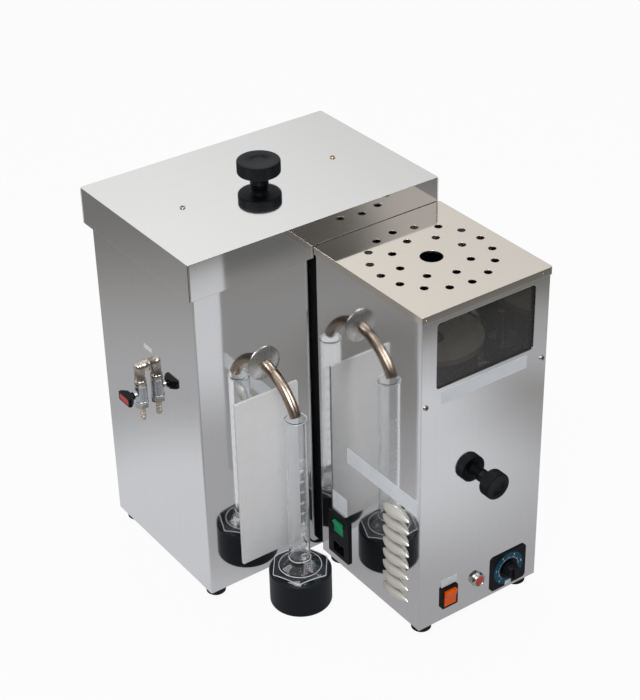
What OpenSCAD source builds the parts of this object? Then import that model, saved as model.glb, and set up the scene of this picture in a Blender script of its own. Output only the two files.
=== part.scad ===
// Atmospheric distillation apparatus: a heater tower in front of a condenser bath.
// Lengths are in millimetres. The front faces -Y and Z is up.
// Pieces are drawn with the tower's front left edge at x = 0, y = 0 and the casings' undersides
// at z = 0. place() then moves them so that the origin is the middle of the underside of the whole.

/* [Sheet steel] */
// Thickness of the casing sheet
sheet = 1.5; // [1.2:0.1:2]
// Outer radius of the casing's folded edges
bend_r = 2.5; // [2.2:0.1:4]

/* [Tower] */
// Width of the heater tower
tower_w = 208; // [200:1:230]
// Depth of the heater tower
tower_d = 226; // [215:1:250]
// Drop from the lid's top to the tower's top
tower_drop = 36; // [30:1:46]
// Width of the folded lips that carry the front panel
front_lip = 12; // [10:1:16]
// Height of the folded edge of the perforated cover
cover_edge = 11; // [8:1:14]
// Gap between the cover's edge and the tower walls
cover_clear = 0.5; // [0.3:0.1:1]
// Diameter of the cover's middle hole, for the flask neck
neck_hole_d = 31; // [26:1:34]
// Diameter of the cover's vent holes
vent_d = 11; // [8:1:12]
// Radius of the outer ring of vent holes
vent_ring_outer = 82; // [76:1:88]
// Radius of the inner ring of vent holes
vent_ring_inner = 51; // [44:1:56]

/* [Window] */
// Distance of the window opening from the tower's sides
window_side = 23.5; // [21.5:0.5:34]
// Height of the window opening
window_h = 97; // [80:1:105]
// Corner radius of the window opening
window_r = 5; // [4:1:14]
// Drop from the tower's top to the window opening
window_drop = 18; // [16:1:24]
// Thickness of the tinted glass
glass_t = 4; // [3:0.5:5]
// How far the glass reaches behind the panel all round
glass_lap = 7; // [5:0.5:8]

/* [Louvres] */
// Number of louvres in the left wall
louvre_count = 8; // [5:1:9]
// Length of one louvre
louvre_l = 60; // [40:1:66]
// How far a louvre stands out from the wall
louvre_out = 11; // [8:0.5:12]
// Spacing of the louvres
louvre_pitch = 19.5; // [16:0.5:20]
// Height of the lowest louvre
louvre_z = 34; // [26:1:40]
// Distance of the louvres from the tower's front
louvre_y = 22; // [18:1:30]

/* [Bath] */
// Width of the bath casing
bath_w = 384; // [360:1:420]
// Depth of the bath casing
bath_d = 257; // [240:1:290]
// Height of the bath casing above its underside
bath_h = 533; // [520:1:560]
// Thickness of the insulation round the tank
insulation = 18; // [12:1:24]
// Thickness of the tank sheet
tank_t = 1.2; // [1:0.1:1.5]
// Height of the tank floor
tank_floor_z = 303; // [296:1:304]

/* [Lid] */
// Height of the lid's skirt
skirt_h = 54; // [40:1:60]
// How far the lid stands out past the bath casing
lid_over = 8; // [6:0.5:12]
// Gap between the lid's skirt and the tower cover
lid_gap = 1; // [0.8:0.1:3]
// Thickness of the insulating board under the lid
liner_t = 12; // [8:1:16]
// Gap between the insulating board and the tank
liner_clear = 3; // [2:0.5:5]
// Distance of each lid screw from the lid's middle
lid_screw_x = 122; // [90:1:130]

/* [Knobs] */
// Diameter of the lid knob
lid_knob_d = 60; // [56:1:70]
// Height of the lid knob
lid_knob_h = 34; // [30:1:40]
// Diameter of the lift knob's head
lift_knob_d = 39; // [36:1:48]
// How far the lift knob stands out from the panel
lift_knob_out = 33.5; // [31:0.5:42]
// Height of the lift knob's shaft
lift_z = 217; // [210:1:226]
// Diameter of the regulator knob
dial_knob_d = 26; // [20:1:30]

/* [Heater lift] */
// Vertical travel of the heater
lift_travel = 40; // [20:1:40]
// Tooth module of the rack and pinion
tooth_m = 1.5; // [1.2:0.1:1.6]
// Number of pinion teeth
pinion_teeth = 16; // [14:1:18]
// Side play between the teeth
tooth_play = 0.3; // [0.2:0.05:0.5]
// Diameter of the lift knob's shaft
shaft_d = 8; // [6:0.5:9]
// Running clearance of shafts and slides, on the radius
run_clear = 0.06; // [0.03:0.01:0.09]
// Diameter of the heater's guide rods
rod_d = 10; // [8:0.5:12]
// Distance of each guide rod from the tower's middle
rod_x = 82; // [80:1:84]
// Height of the floor under the flask chamber
deck_z = 150; // [140:1:154]
// Height of the heater carriage at its lowest
carriage_z = 316; // [306:1:320]
// Diameter of the flask board
board_d = 144; // [120:1:148]

/* [Condenser tube] */
// Outside diameter of the condenser tube
tube_od = 16; // [12:0.5:18]
// Wall of the condenser tube
tube_t = 0.9; // [0.8:0.1:1.5]
// Distance of the tube's outlet from the bath's left wall
tube_from_left = 104; // [95:1:120]
// Distance from the bath's front wall to the tube's cross run
tube_back = 150; // [130:1:160]
// Length of the tube inside the tower
tube_in = 28; // [20:1:34]
// Rise of the tube from its outlet to its inlet
tube_rise = 60; // [40:1:70]
// Radius of the tube's bends inside the bath
tube_bend_r = 40; // [32:1:50]
// Slope of the outlet where it leaves the bath
outlet_start = 10; // [6:1:14]
// Slope of the outlet at its end
outlet_end = 63; // [58:1:72]
// Reach of the outlet in front of the bath
outlet_reach = 72; // [66:1:80]
// Diameter of the wall rosette
rosette_d = 50; // [44:1:60]

/* [Receiver] */
// Outside diameter of the glass cylinder
glass_od = 30; // [28:0.5:32]
// Wall of the glass cylinder
glass_wall = 1.6; // [1.2:0.1:2]
// Height of the glass cylinder with its foot
glass_h = 252; // [247:1:256]
// Width of the hexagonal foot across its flats
foot_flats = 74; // [66:1:75]
// Diameter of the rest block
block_d = 88; // [87:1:96]
// Height of the rest block
block_h = 55; // [50:1:57]
// Gap between the tube's end and the cylinder's rim
tip_gap = 1; // [0.5:0.1:3]
// Width of the reading plate
plate_w = 102; // [80:1:110]
// Height of the reading plate
plate_h = 270; // [240:1:280]
// Thickness of the reading plate
plate_t = 2; // [1.5:0.5:3]

/* [Drain valve] */
// Height of the drain
drain_z = 316; // [314:1:322]
// Distance of the drain from the bath's front wall
drain_y = 133; // [100:1:150]
// Distance of the valve from the bath's left wall
valve_out = 13; // [12.5:0.5:18]
// Outside diameter of the drain elbow
elbow_od = 16; // [14:0.5:16.5]
// Bore of the drain
drain_bore = 8; // [6:0.5:8]
// Outside diameter of the valve body
valve_d = 18; // [18:0.5:20]
// Length of the valve lever
lever_l = 28; // [26:1:36]
// Diameter of the valve stem
stem_d = 5; // [4:0.5:6]

/* [Controls] */
// Width of the regulator's dial plate
dial_w = 63; // [56:1:66]
// Height of the regulator's dial plate
dial_h = 58; // [54:1:60]
// Distance of the regulator's middle from the tower's right wall
dial_right = 51; // [44:1:54]
// Height of the regulator's middle
dial_z = 35; // [34:1:40]
// Distance of the lamp's middle from the tower's left wall
lamp_x = 101; // [96:1:104]
// Height of the lamp's middle
lamp_z = 42; // [38:1:50]
// Diameter of the lamp's barrel
lamp_d = 18; // [17:1:22]
// Width of the power rocker's frame
rocker_w = 27; // [26:1:34]
// Height of the power rocker's frame
rocker_h = 34; // [32:1:38]
// Distance of the power rocker's middle from the tower's left wall
rocker_x = 51; // [46:1:58]
// Height of the power rocker's middle
rocker_z = 38; // [34:1:42]
// Tilt of a rocker on either side of level
rocker_tilt = 9; // [6:1:10]
// Width of the mains inlet
inlet_w = 48; // [46:1:52]
// Height of the mains inlet
inlet_h = 72; // [70:1:78]
// Distance of the mains inlet's middle from the tower's back
inlet_back = 45; // [42:1:50]
// Height of the mains inlet's middle
inlet_z = 50; // [48:1:56]

/* [Feet] */
// Diameter of the rubber feet
foot_d = 30; // [20:1:32]
// Height of the rubber feet
foot_h = 15; // [10:1:20]
// Distance of each foot's middle from the casing's edges
foot_in = 19; // [16:1:30]

/* [Hidden] */
$fn = 64;
hair = 0.01;
flange_top = bath_h + sheet;
lid_top = flange_top + sheet;
tower_h = lid_top - tower_drop;
tower_mid = tower_w / 2;
wall_h = tower_h - sheet;
window_w = tower_w - 2 * window_side;
cover_lip = cover_clear + sheet;
chamber_y = tower_d / 2;
bath_x1 = tower_w - lid_over;
bath_x0 = bath_x1 - bath_w;
bath_y0 = tower_d + cover_lip + lid_gap + lid_over;
bath_y1 = bath_y0 + bath_d;
bath_mid = [(bath_x0 + bath_x1) / 2, (bath_y0 + bath_y1) / 2];
tank_in = sheet + insulation;
spacer_t = bath_y0 - tower_d;

// Screws
small_screw_d = 4;
small_head_d = 7.5;
small_head_h = 2.2;
stud_d = 8;
nut_flats = 13;
nut_h = 6.5;
panel_screw_in = 7;
panel_screw_drop = 136;

// Knobs
lid_neck_d = 23;
lid_head_h = 19;
lift_neck_d = 16;
lift_head_h = 17;

// Heater lift
pitch_r = tooth_m * pinion_teeth / 2;
addendum = 0.8 * tooth_m;
dedendum = 1.1 * tooth_m;
flank_angle = 20;
base_r = pitch_r * cos(flank_angle);
pinion_w = 10;
pinion_y = 86;
bracket_y = pinion_y + pinion_w + 6;
bracket_t = 4;
bracket_w = 26;
bracket_foot = 20;
bush_d = 14;
bush_out = 0.6;
knob_gap = 0.4;
rack_w = 9;
rack_low = lift_z - lift_travel - 3 * tooth_m;
rack_pitch = PI * tooth_m;
carriage_t = 4;
boss_d = rod_d + 10;
boss_h = 22;
dish_h = 56;
dish_d = board_d - 16;
dish_t = 3;
board_t = 8;
board_hole_d = 38;
dish_z = carriage_z + carriage_t;
board_z = dish_z + dish_h;
deck_t = 2;

// Receiver and the tube's outlet over it
block_z = -foot_h + block_h;
rim_z = block_z + glass_h;
outlet_lead = 8;
outlet_turn = outlet_end - outlet_start;
outlet_bend_r = (outlet_reach - outlet_lead * cos(outlet_start)) / (sin(outlet_end) - sin(outlet_start));
outlet_drop = outlet_lead * sin(outlet_start) + outlet_bend_r * (cos(outlet_start) - cos(outlet_end));
outlet_y = bath_y0 - outlet_reach;
tube_z = rim_z + tip_gap + tube_od / 2 * cos(outlet_end) + outlet_drop;

// Condenser tube
tube_x = bath_x0 + tube_from_left;
tube_fit = 0.1;
tank_bush_l = 12;
bush_mid_y = bath_y0 + tank_in + tank_t + tank_bush_l / 2;
lead_rise = (bush_mid_y - bath_y0) * tan(outlet_start);
inlet_rise_x = tower_mid - tube_x;
tube_tilt = atan2(tube_rise - lead_rise, inlet_rise_x);
tube_run = norm([tube_rise - lead_rise, inlet_rise_x]);
tube_back_y = bath_y0 + tube_back;
tube_inlet_y = tower_d - tube_in;

// Receiver's place and the reading plate
glass_x = tube_x + 2;
glass_y = outlet_y + 4;
glass_foot_h = 16;
hex_plate_h = 6;
hex_r = foot_flats / 2 / cos(30);
hex_turn = 52;
plate_x = tube_x - plate_w / 2 + 1;
plate_z = 0.55 * (tube_z - rosette_d / 2 - plate_h);

// Drain valve
valve_x = bath_x0 - valve_out;
valve_y = bath_y0 + drain_y;
elbow_r = 8.5;
elbow_neck = 6;
collar_h = 13;
collar_flats = 18;
body_top_z = drain_z - elbow_r - elbow_neck - collar_h;
body_l = 28;
ball_z = body_top_z - body_l / 2;
ball_d = 12;
stem_out = 7;
boss_out = 3;
lever_t = 11;
lever_w = 13;
insert_t = 1.6;
lever_x = valve_x - valve_d / 2 - stem_out;
barb_nut_h = 7;
barb_l = 22;
barb_d = 10;

// Controls
dial_x = tower_w - dial_right;
inlet_y = tower_d - inlet_back;
dial_t = 2;
panel_hole_fit = 0.2;
bushing_d = 10;
spindle_d = 6;
dial_knob_h = 15;
lamp_out = 10;
lamp_neck_d = 12;
lens_d = 13.5;
lens_in = 4;
frame_t = 4;
frame_wall = 1.5;
frame_depth = 26;
pivot_d = 3;
pivot_in = 4;
pivot_stub = 1;
rocker_gap = 0.35;
inlet_t = 3;
inlet_wall = 2;
inlet_depth = 36;
mains_w = 22;
mains_h = 22;
mains_up = 17;
mains_depth = 16;
drawer_w = 24;
drawer_h = 9;
drawer_up = -2;
drawer_gap = 0.3;
drawer_depth = 24;
socket_w = 25;
socket_h = 17;
socket_up = -21;
socket_depth = 17;
pin_size = [2, 4];
pin_spots = [[-7, -2], [0, 2], [7, -2]];
pin_front = 6;
rocker_mouth_w = rocker_w - 3 - 2 * frame_wall;
rocker_mouth_h = rocker_h - 3 - 2 * frame_wall;

// The whole's extent, which sets the origin
reach_left = lever_x - lever_t;
reach_right = tower_w + cover_lip;
reach_front = -lift_knob_out;
reach_back = bath_y1 + lid_over;

// Moves the drawing frame to the finished frame
module place() {
    translate([-(reach_left + reach_right) / 2, -(reach_front + reach_back) / 2, foot_h]) children();
}

// Rectangle with round corners, from the origin
module rounded_rect(w, h, r) {
    translate([r, 0]) square([w - 2 * r, h]);
    translate([0, r]) square([w, h - 2 * r]);
    for (x = [r, w - r], y = [r, h - r]) translate([x, y]) circle(r);
}

// The same about its middle
module centred_rect(w, h, r) {
    translate([-w / 2, -h / 2]) rounded_rect(w, h, r);
}

// Turns a drawing in X and Y to face the tower's front: its Y becomes Z and its +Z becomes -Y
module facing_front(x, z, y = 0) {
    translate([x, y, z]) rotate([90, 0, 0]) children();
}

// Turns a drawing to face left: its X becomes -Y, its Y becomes Z and its +Z becomes -X
module facing_left(y, z, x = 0) {
    translate([x, y, z]) rotate([90, 0, -90]) children();
}

module hex_prism(flats, h) {
    cylinder(h = h, r = flats / 2 / cos(30), $fn = 6);
}

// Domed screw standing on z = 0 with its shank below
module screw(shank) {
    rotate_extrude() {
        intersection() {
            translate([0, small_head_h - small_head_d]) circle(d = 2 * small_head_d);
            square([small_head_d / 2, small_head_h]);
        }
    }
    translate([0, 0, -shank]) cylinder(h = shank + hair, d = small_screw_d);
}

module bath_outline(inset, r) {
    translate([bath_x0 + inset, bath_y0 + inset])
        rounded_rect(bath_w - 2 * inset, bath_d - 2 * inset, r);
}

// Way of the sloping outlet through the bath's front wall, to a depth behind it
module outlet_port(depth) {
    lead = 2 * outlet_lead;
    translate([tube_x, bath_y0, tube_z]) rotate([outlet_start - 90, 0, 0]) translate([0, 0, -lead])
        cylinder(h = lead + depth, d = tube_od + 2 * tube_fit);
}

// The drain's and the tube's ways through the bath walls
module bath_ports() {
    outlet_port(tank_in + 3 * tank_t);
    facing_front(tower_mid, tube_z + tube_rise, bath_y0 + tank_in + 2 * tank_t)
        cylinder(h = tank_in + 3 * tank_t + sheet, d = tube_od + 2 * tube_fit);
    facing_left(valve_y, drain_z, bath_x0 + tank_in + 2 * tank_t)
        cylinder(h = tank_in + 3 * tank_t + sheet, d = elbow_od + 2 * tube_fit);
}

module bath_casing() {
    color("gainsboro") place() difference() {
        linear_extrude(bath_h) bath_outline(0, bend_r);
        translate([0, 0, sheet]) linear_extrude(bath_h) bath_outline(sheet, bend_r - sheet);
        bath_ports();
    }
}

module bath_tank() {
    color("silver") place() difference() {
        union() {
            translate([0, 0, tank_floor_z - tank_t])
                linear_extrude(bath_h - tank_floor_z + tank_t) bath_outline(tank_in, bend_r);
            translate([0, 0, bath_h]) linear_extrude(sheet) bath_outline(0, bend_r);
        }
        translate([0, 0, tank_floor_z]) linear_extrude(bath_h) bath_outline(tank_in + tank_t, bend_r - tank_t);
        bath_ports();
    }
}

module bath_insulation() {
    color("khaki") place() difference() {
        translate([0, 0, tank_floor_z - tank_t - insulation])
            linear_extrude(bath_h - tank_floor_z + tank_t + insulation) bath_outline(sheet, bend_r - sheet);
        translate([0, 0, tank_floor_z - tank_t]) linear_extrude(bath_h) bath_outline(tank_in, bend_r);
        bath_ports();
    }
}

module bath_lid() {
    color("whitesmoke") place() difference() {
        translate([0, 0, lid_top - skirt_h]) linear_extrude(skirt_h) bath_outline(-lid_over, bend_r);
        translate([0, 0, lid_top - skirt_h - sheet]) linear_extrude(skirt_h)
            bath_outline(sheet - lid_over, bend_r - sheet);
        translate([bath_mid[0], bath_mid[1], lid_top - 2 * sheet]) {
            cylinder(h = 3 * sheet, d = stud_d);
            for (side = [-1, 1]) translate([side * lid_screw_x, 0, 0])
                cylinder(h = 3 * sheet, d = small_screw_d);
        }
    }
}

module lid_liner() {
    color("ivory") place() difference() {
        translate([0, 0, flange_top - liner_t]) linear_extrude(liner_t)
            bath_outline(tank_in + tank_t + liner_clear, bend_r);
        translate([bath_mid[0], bath_mid[1], flange_top - 2 * liner_t]) {
            cylinder(h = 3 * liner_t, r = nut_flats);
            for (side = [-1, 1]) translate([side * lid_screw_x, 0, 0])
                cylinder(h = 3 * liner_t, d = small_screw_d);
        }
    }
}

// Mushroom knob along Z: neck, waist and a head with a small shallow dish in its face
module mushroom(d, h, neck_d, head_h, bore_d, bore_depth) {
    edge = head_h / 8;
    flare = neck_d / 4;
    difference() {
        rotate_extrude() difference() {
            union() {
                square([neck_d / 2, h - edge]);
                translate([0, h - head_h]) square([d / 2 - edge, head_h]);
                translate([0, h - head_h + edge]) square([d / 2, head_h - 2 * edge]);
                for (y = [h - head_h + edge, h - edge]) translate([d / 2 - edge, y]) circle(edge);
                difference() {
                    translate([0, h - head_h - flare]) square([neck_d / 2 + flare, flare]);
                    translate([neck_d / 2 + flare, h - head_h - flare]) circle(flare);
                }
            }
            translate([0, h - edge / 2]) square([d / 5, edge]);
        }
        translate([0, 0, -hair]) cylinder(h = bore_depth + hair, d = bore_d);
    }
}

module lid_knob() {
    color("#161616") place() translate([bath_mid[0], bath_mid[1], lid_top])
        mushroom(lid_knob_d, lid_knob_h, lid_neck_d, lid_head_h, stud_d, lid_knob_h / 2);
}

module lid_stud() {
    color("darkgray") place() translate([bath_mid[0], bath_mid[1], flange_top]) {
        translate([0, 0, -2 * nut_h]) cylinder(h = 2 * nut_h + sheet + lid_knob_h / 2, d = stud_d);
        translate([0, 0, -nut_h]) hex_prism(nut_flats, nut_h);
    }
}

module lid_screws() {
    color("darkgoldenrod") place() translate([bath_mid[0], bath_mid[1], lid_top])
        for (side = [-1, 1]) translate([side * lid_screw_x, 0, 0]) screw(sheet + liner_t / 2);
}

module bend(r, d) {
    rotate_extrude(angle = 90) translate([r, 0]) circle(d = d);
}

// From the flask chamber back into the bath, across it, and forward to the outlet's long downward bend
module tube_way(d, past) {
    leg_end = tube_back_y - tube_bend_r;
    joint = 1.5;
    lap = 0.7;
    lap_turn = lap / outlet_bend_r * 180 / PI;
    translate([0, bush_mid_y, lead_rise]) sphere(d = d + 1);
    translate([0, 0, lead_rise]) rotate([0, -tube_tilt, 0]) {
        translate([0, bush_mid_y + joint, 0]) rotate([-90, 0, 0])
            cylinder(h = leg_end - bush_mid_y - joint, d = d);
        translate([tube_bend_r, leg_end, 0]) rotate([0, 0, 90]) bend(tube_bend_r, d);
        translate([tube_bend_r, tube_back_y, 0]) rotate([0, 90, 0])
            cylinder(h = tube_run - 2 * tube_bend_r, d = d);
        translate([tube_run - tube_bend_r, leg_end, 0]) bend(tube_bend_r, d);
        translate([tube_run, tube_inlet_y - past, 0]) rotate([-90, 0, 0])
            cylinder(h = leg_end - tube_inlet_y + past, d = d);
    }
    translate([0, bath_y0, 0]) rotate([outlet_start, 0, 0]) translate([0, -outlet_lead, 0]) {
        sphere(d = d + 0.1);
        rotate([-90, 0, 0]) translate([0, 0, lap])
            cylinder(h = outlet_lead + (bush_mid_y - bath_y0) / cos(outlet_start) - joint - lap, d = d);
        translate([0, 0, -outlet_bend_r]) rotate([90, 0, -90]) rotate(90 - outlet_turn - past)
            rotate_extrude(angle = outlet_turn + past - lap_turn) translate([outlet_bend_r, 0]) circle(d = d);
    }
}

// The tube with the soldered bushes that seal it in the tank's front wall
module condenser_tube() {
    color("#a39a84") place() translate([tube_x, 0, tube_z]) difference() {
        union() {
            tube_way(tube_od, 0);
            for (end = [[0, lead_rise], [inlet_rise_x, tube_rise]])
                translate([end[0], bush_mid_y - tank_bush_l / 2, end[1]]) rotate([-90, 0, 0])
                    cylinder(h = tank_bush_l, d = tube_od + 6);
        }
        tube_way(tube_od - 2 * tube_t, 1);
    }
}

// Low domed wall plate round the outlet
module tube_rosette() {
    dome = 6;
    rim = 1;
    dome_r = (rosette_d * rosette_d / 4 + dome * dome) / (2 * dome);
    color("gainsboro") place() difference() {
        facing_front(tube_x, tube_z, bath_y0) rotate_extrude() {
            square([rosette_d / 2, rim]);
            intersection() {
                translate([0, rim + dome - dome_r]) circle(dome_r, $fn = 4 * $fn);
                translate([0, rim - hair]) square([rosette_d / 2, dome + 1]);
            }
        }
        outlet_port(sheet);
    }
}

// Graduated cylinder: straight glass tube with a beaded rim on a hexagonal foot
module receiver_cylinder() {
    bead = 1.1;
    cone_r = 30;
    color("#cfe3e6") place() translate([glass_x, glass_y, block_z]) difference() {
        union() {
            intersection() {
                rotate([0, 0, hex_turn]) hex_prism(foot_flats, hex_plate_h);
                rotate_extrude() polygon([[0, 0], [hex_r - 1, 0], [hex_r, 1], [hex_r, 3],
                    [cone_r, hex_plate_h], [0, hex_plate_h]]);
            }
            rotate_extrude() polygon([[0, hex_plate_h - 1], [cone_r, hex_plate_h - 1],
                [cone_r - 2, hex_plate_h + 2], [glass_od / 2 + 3, glass_foot_h - 2],
                [glass_od / 2, glass_foot_h + 4], [0, glass_foot_h + 4]]);
            cylinder(h = glass_h - bead, d = glass_od);
            translate([0, 0, glass_h - bead]) rotate_extrude() {
                square([glass_od / 2, bead]);
                translate([glass_od / 2, 0]) circle(bead);
            }
        }
        translate([0, 0, glass_foot_h]) cylinder(h = glass_h, d = glass_od - 2 * glass_wall);
        translate([0, 0, -hair]) cylinder(h = 2, r1 = cone_r - 4, r2 = cone_r - 8);
    }
}

module rest_block() {
    edge = 4;
    color("#121212") place() translate([glass_x, glass_y, -foot_h]) rotate_extrude() {
        square([block_d / 2 - edge, block_h]);
        translate([0, edge]) square([block_d / 2, block_h - 1.5 * edge]);
        translate([block_d / 2 - edge, edge]) circle(edge);
        polygon([[block_d / 2 - edge, block_h - edge / 2], [block_d / 2, block_h - edge / 2],
            [block_d / 2 - edge / 2, block_h], [block_d / 2 - edge, block_h]]);
    }
}

module reading_plate() {
    color("white") place() facing_front(plate_x, plate_z, bath_y0)
        linear_extrude(plate_t) rounded_rect(plate_w, plate_h, 1);
}

// Elbow from the tank wall to the valve, ending in a hexagonal collar
module valve_elbow() {
    spigot = valve_out - elbow_r + tank_in + tank_t;
    drop = drain_z - elbow_r - body_top_z;
    wall_nut = 3;
    color("#b9b2a0") place() translate([valve_x, valve_y, drain_z]) difference() {
        union() {
            translate([elbow_r, 0, 0]) rotate([0, 90, 0]) cylinder(h = spigot, d = elbow_od);
            translate([elbow_r, 0, -elbow_r]) rotate([90, 0, 0]) rotate([0, 0, 90])
                rotate_extrude(angle = 90) translate([elbow_r, 0]) circle(d = elbow_od);
            translate([0, 0, -elbow_r - drop]) cylinder(h = drop, d = elbow_od);
            translate([0, 0, -elbow_r - drop]) hex_prism(collar_flats, collar_h);
            translate([valve_out - wall_nut, 0, 0]) rotate([0, 90, 0]) hex_prism(collar_flats + 2, wall_nut);
        }
        translate([elbow_r, 0, 0]) rotate([0, 90, 0]) cylinder(h = spigot + 1, d = drain_bore);
        translate([elbow_r, 0, -elbow_r]) rotate([90, 0, 0]) rotate([0, 0, 90])
            rotate_extrude(angle = 90) translate([elbow_r, 0]) circle(d = drain_bore);
        translate([0, 0, -elbow_r - drop - 1]) cylinder(h = drop + 1, d = drain_bore);
    }
}

module valve_body() {
    boss_l = valve_d / 2 + boss_out;
    color("#b4b6b8") place() translate([valve_x, valve_y, ball_z]) difference() {
        union() {
            rotate_extrude() {
                translate([0, -body_l / 2]) square([valve_d / 2, body_l]);
                translate([0, -body_l / 2]) square([valve_d / 2 + 0.8, 3]);
            }
            rotate([0, -90, 0]) cylinder(h = boss_l, d = stem_d + 6);
        }
        cylinder(h = body_l + 2, d = drain_bore, center = true);
        sphere(d = ball_d + 4 * run_clear);
        rotate([0, -90, 0]) cylinder(h = boss_l + 1, d = stem_d + 2 * run_clear);
    }
}

// Ball and stem in one, shown shut: the ball's bore lies across the flow
module valve_ball() {
    color("silver") place() translate([valve_x, valve_y, ball_z]) {
        rotate([90, 0, 0]) rotate_extrude() difference() {
            circle(d = ball_d);
            translate([-ball_d, -ball_d]) square([ball_d + drain_bore / 2, 2 * ball_d]);
        }
        translate([-ball_d / 2 + 1, 0, 0]) rotate([0, -90, 0])
            cylinder(h = valve_d / 2 + stem_out + lever_t / 2 - ball_d / 2 + 1, d = stem_d);
    }
}

// Lever shut: a wing along Y that widens from the stem to its outer face
module valve_lever() {
    hub_l = stem_out - boss_out - 0.5;
    waist = lever_l * 0.26;
    color("#141414") place() translate([lever_x, valve_y, ball_z]) difference() {
        union() {
            translate([0, 0, -lever_w / 2]) linear_extrude(lever_w) polygon([
                [0, -waist], [0, waist], [-lever_t * 0.6, lever_l / 2], [-lever_t, lever_l / 2],
                [-lever_t, -lever_l / 2], [-lever_t * 0.6, -lever_l / 2]]);
            rotate([0, 90, 0]) cylinder(h = hub_l, d = stem_d + 6);
        }
        translate([hub_l + 1, 0, 0]) rotate([0, -90, 0]) cylinder(h = hub_l + 1 + lever_t / 2, d = stem_d);
        translate([-lever_t + insert_t, 0, 0]) rotate([0, -90, 0])
            linear_extrude(2 * insert_t) centred_rect(lever_w - 4, lever_l - 5, 2);
    }
}

module lever_insert() {
    color("firebrick") place() translate([lever_x - lever_t + insert_t, valve_y, ball_z])
        rotate([0, -90, 0]) linear_extrude(insert_t) centred_rect(lever_w - 4, lever_l - 5, 2);
}

// Hose tail under the valve: hexagon and three barbs
module hose_barb() {
    barbs = 3;
    step = (barb_l - 3) / barbs;
    color("#bdb09a") place() translate([valve_x, valve_y, body_top_z - body_l]) mirror([0, 0, 1])
        difference() {
            union() {
                hex_prism(collar_flats, barb_nut_h);
                translate([0, 0, barb_nut_h]) cylinder(h = barb_l, d = barb_d - 1.6);
                for (i = [0 : barbs - 1]) translate([0, 0, barb_nut_h + 3 + i * step])
                    cylinder(h = step, d1 = barb_d, d2 = barb_d - 1.6);
            }
            translate([0, 0, -1]) cylinder(h = barb_nut_h + barb_l + 2, d = drain_bore - 2);
        }
}

module foot() {
    edge = 2;
    mirror([0, 0, 1]) rotate_extrude() difference() {
        polygon([[0, 0], [foot_d / 2, 0], [foot_d / 2 - 1, foot_h - edge],
            [foot_d / 2 - 1 - edge, foot_h], [0, foot_h]]);
        translate([0, foot_h / 2]) square([small_head_d / 2 + 1, foot_h]);
    }
}

module bath_feet() {
    color("#1a1a1a") place()
        for (x = [bath_x0 + foot_in, bath_x1 - foot_in], y = [bath_y0 + foot_in, bath_y1 - foot_in])
            translate([x, y, 0]) foot();
}

module tower_feet() {
    color("#1a1a1a") place()
        for (x = [foot_in, tower_w - foot_in], y = [foot_in, tower_d - foot_in])
            translate([x, y, 0]) foot();
}

// Insulating board that holds the tower off the bath
module tower_spacer() {
    inset = 5;
    color("#0c0c0c") place() difference() {
        translate([inset, tower_d, inset])
            cube([bath_x1 - 2 * inset, spacer_t, lid_top - skirt_h - 2 * inset]);
        facing_front(tower_mid, tube_z + tube_rise, bath_y0 + 1)
            cylinder(h = spacer_t + 2, d = tube_od + 2 * tube_fit);
    }
}

// Outline of a louvre from its axis: a flat lens with round ends
module louvre_outline(out, l) {
    r = (out * out + l * l / 4) / (2 * out);
    intersection() {
        translate([out - r, 0]) circle(r);
        translate([0, -l / 2]) square([out, l]);
    }
}

// One pressed louvre on the left wall: a quarter turn of a thin shell, open underneath
module louvre_hood() {
    rotate([-90, 0, 0]) rotate([0, 0, 180]) rotate_extrude(angle = 90) difference() {
        louvre_outline(louvre_out, louvre_l);
        louvre_outline(louvre_out - sheet, louvre_l - 4 * sheet);
    }
}

module louvre_slot() {
    translate([-sheet, 0, 0]) rotate([90, 0, 90]) linear_extrude(3 * sheet) rotate([0, 0, 90])
        louvre_outline(louvre_out - sheet, louvre_l - 4 * sheet);
}

module louvre_places() {
    for (i = [0 : louvre_count - 1])
        translate([0, louvre_y + louvre_l / 2, louvre_z + i * louvre_pitch]) children();
}

// Side and back walls folded from one sheet, with louvres pressed in the left wall
module tower_shell() {
    color("gainsboro") place() difference() {
        union() {
            linear_extrude(wall_h) difference() {
                union() {
                    translate([0, sheet]) square([tower_w, tower_d - sheet - bend_r]);
                    translate([0, tower_d - 3 * bend_r]) rounded_rect(tower_w, 3 * bend_r, bend_r);
                }
                translate([sheet, 2 * sheet]) square([tower_w - 2 * sheet, tower_d - 3 * sheet]);
                translate([sheet + front_lip, 0]) square([tower_w - 2 * (sheet + front_lip), 3 * sheet]);
            }
            translate([sheet / 2, 0, 0]) louvre_places() louvre_hood();
        }
        louvre_places() louvre_slot();
        facing_left(inlet_y, inlet_z, 2 * sheet) linear_extrude(3 * sheet)
            square([inlet_w - 4, inlet_h - 4], center = true);
        facing_front(tower_mid, tube_z + tube_rise, tower_d + sheet)
            cylinder(h = 3 * sheet, d = tube_od + 2 * tube_fit);
        panel_screw_places() translate([0, 0, -3 * sheet]) cylinder(h = 4 * sheet, d = small_screw_d);
    }
}

module tower_base() {
    color("silver") place() translate([sheet, 2 * sheet, 0])
        cube([tower_w - 2 * sheet, tower_d - 3 * sheet, sheet]);
}

module panel_screw_places() {
    for (x = [panel_screw_in, tower_w - panel_screw_in]) facing_front(x, tower_h - panel_screw_drop) children();
}

module window_outline(grow) {
    translate([tower_mid - window_w / 2 - grow, tower_h - window_drop - window_h - grow])
        rounded_rect(window_w + 2 * grow, window_h + 2 * grow, window_r + min(grow, 0));
}

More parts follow.
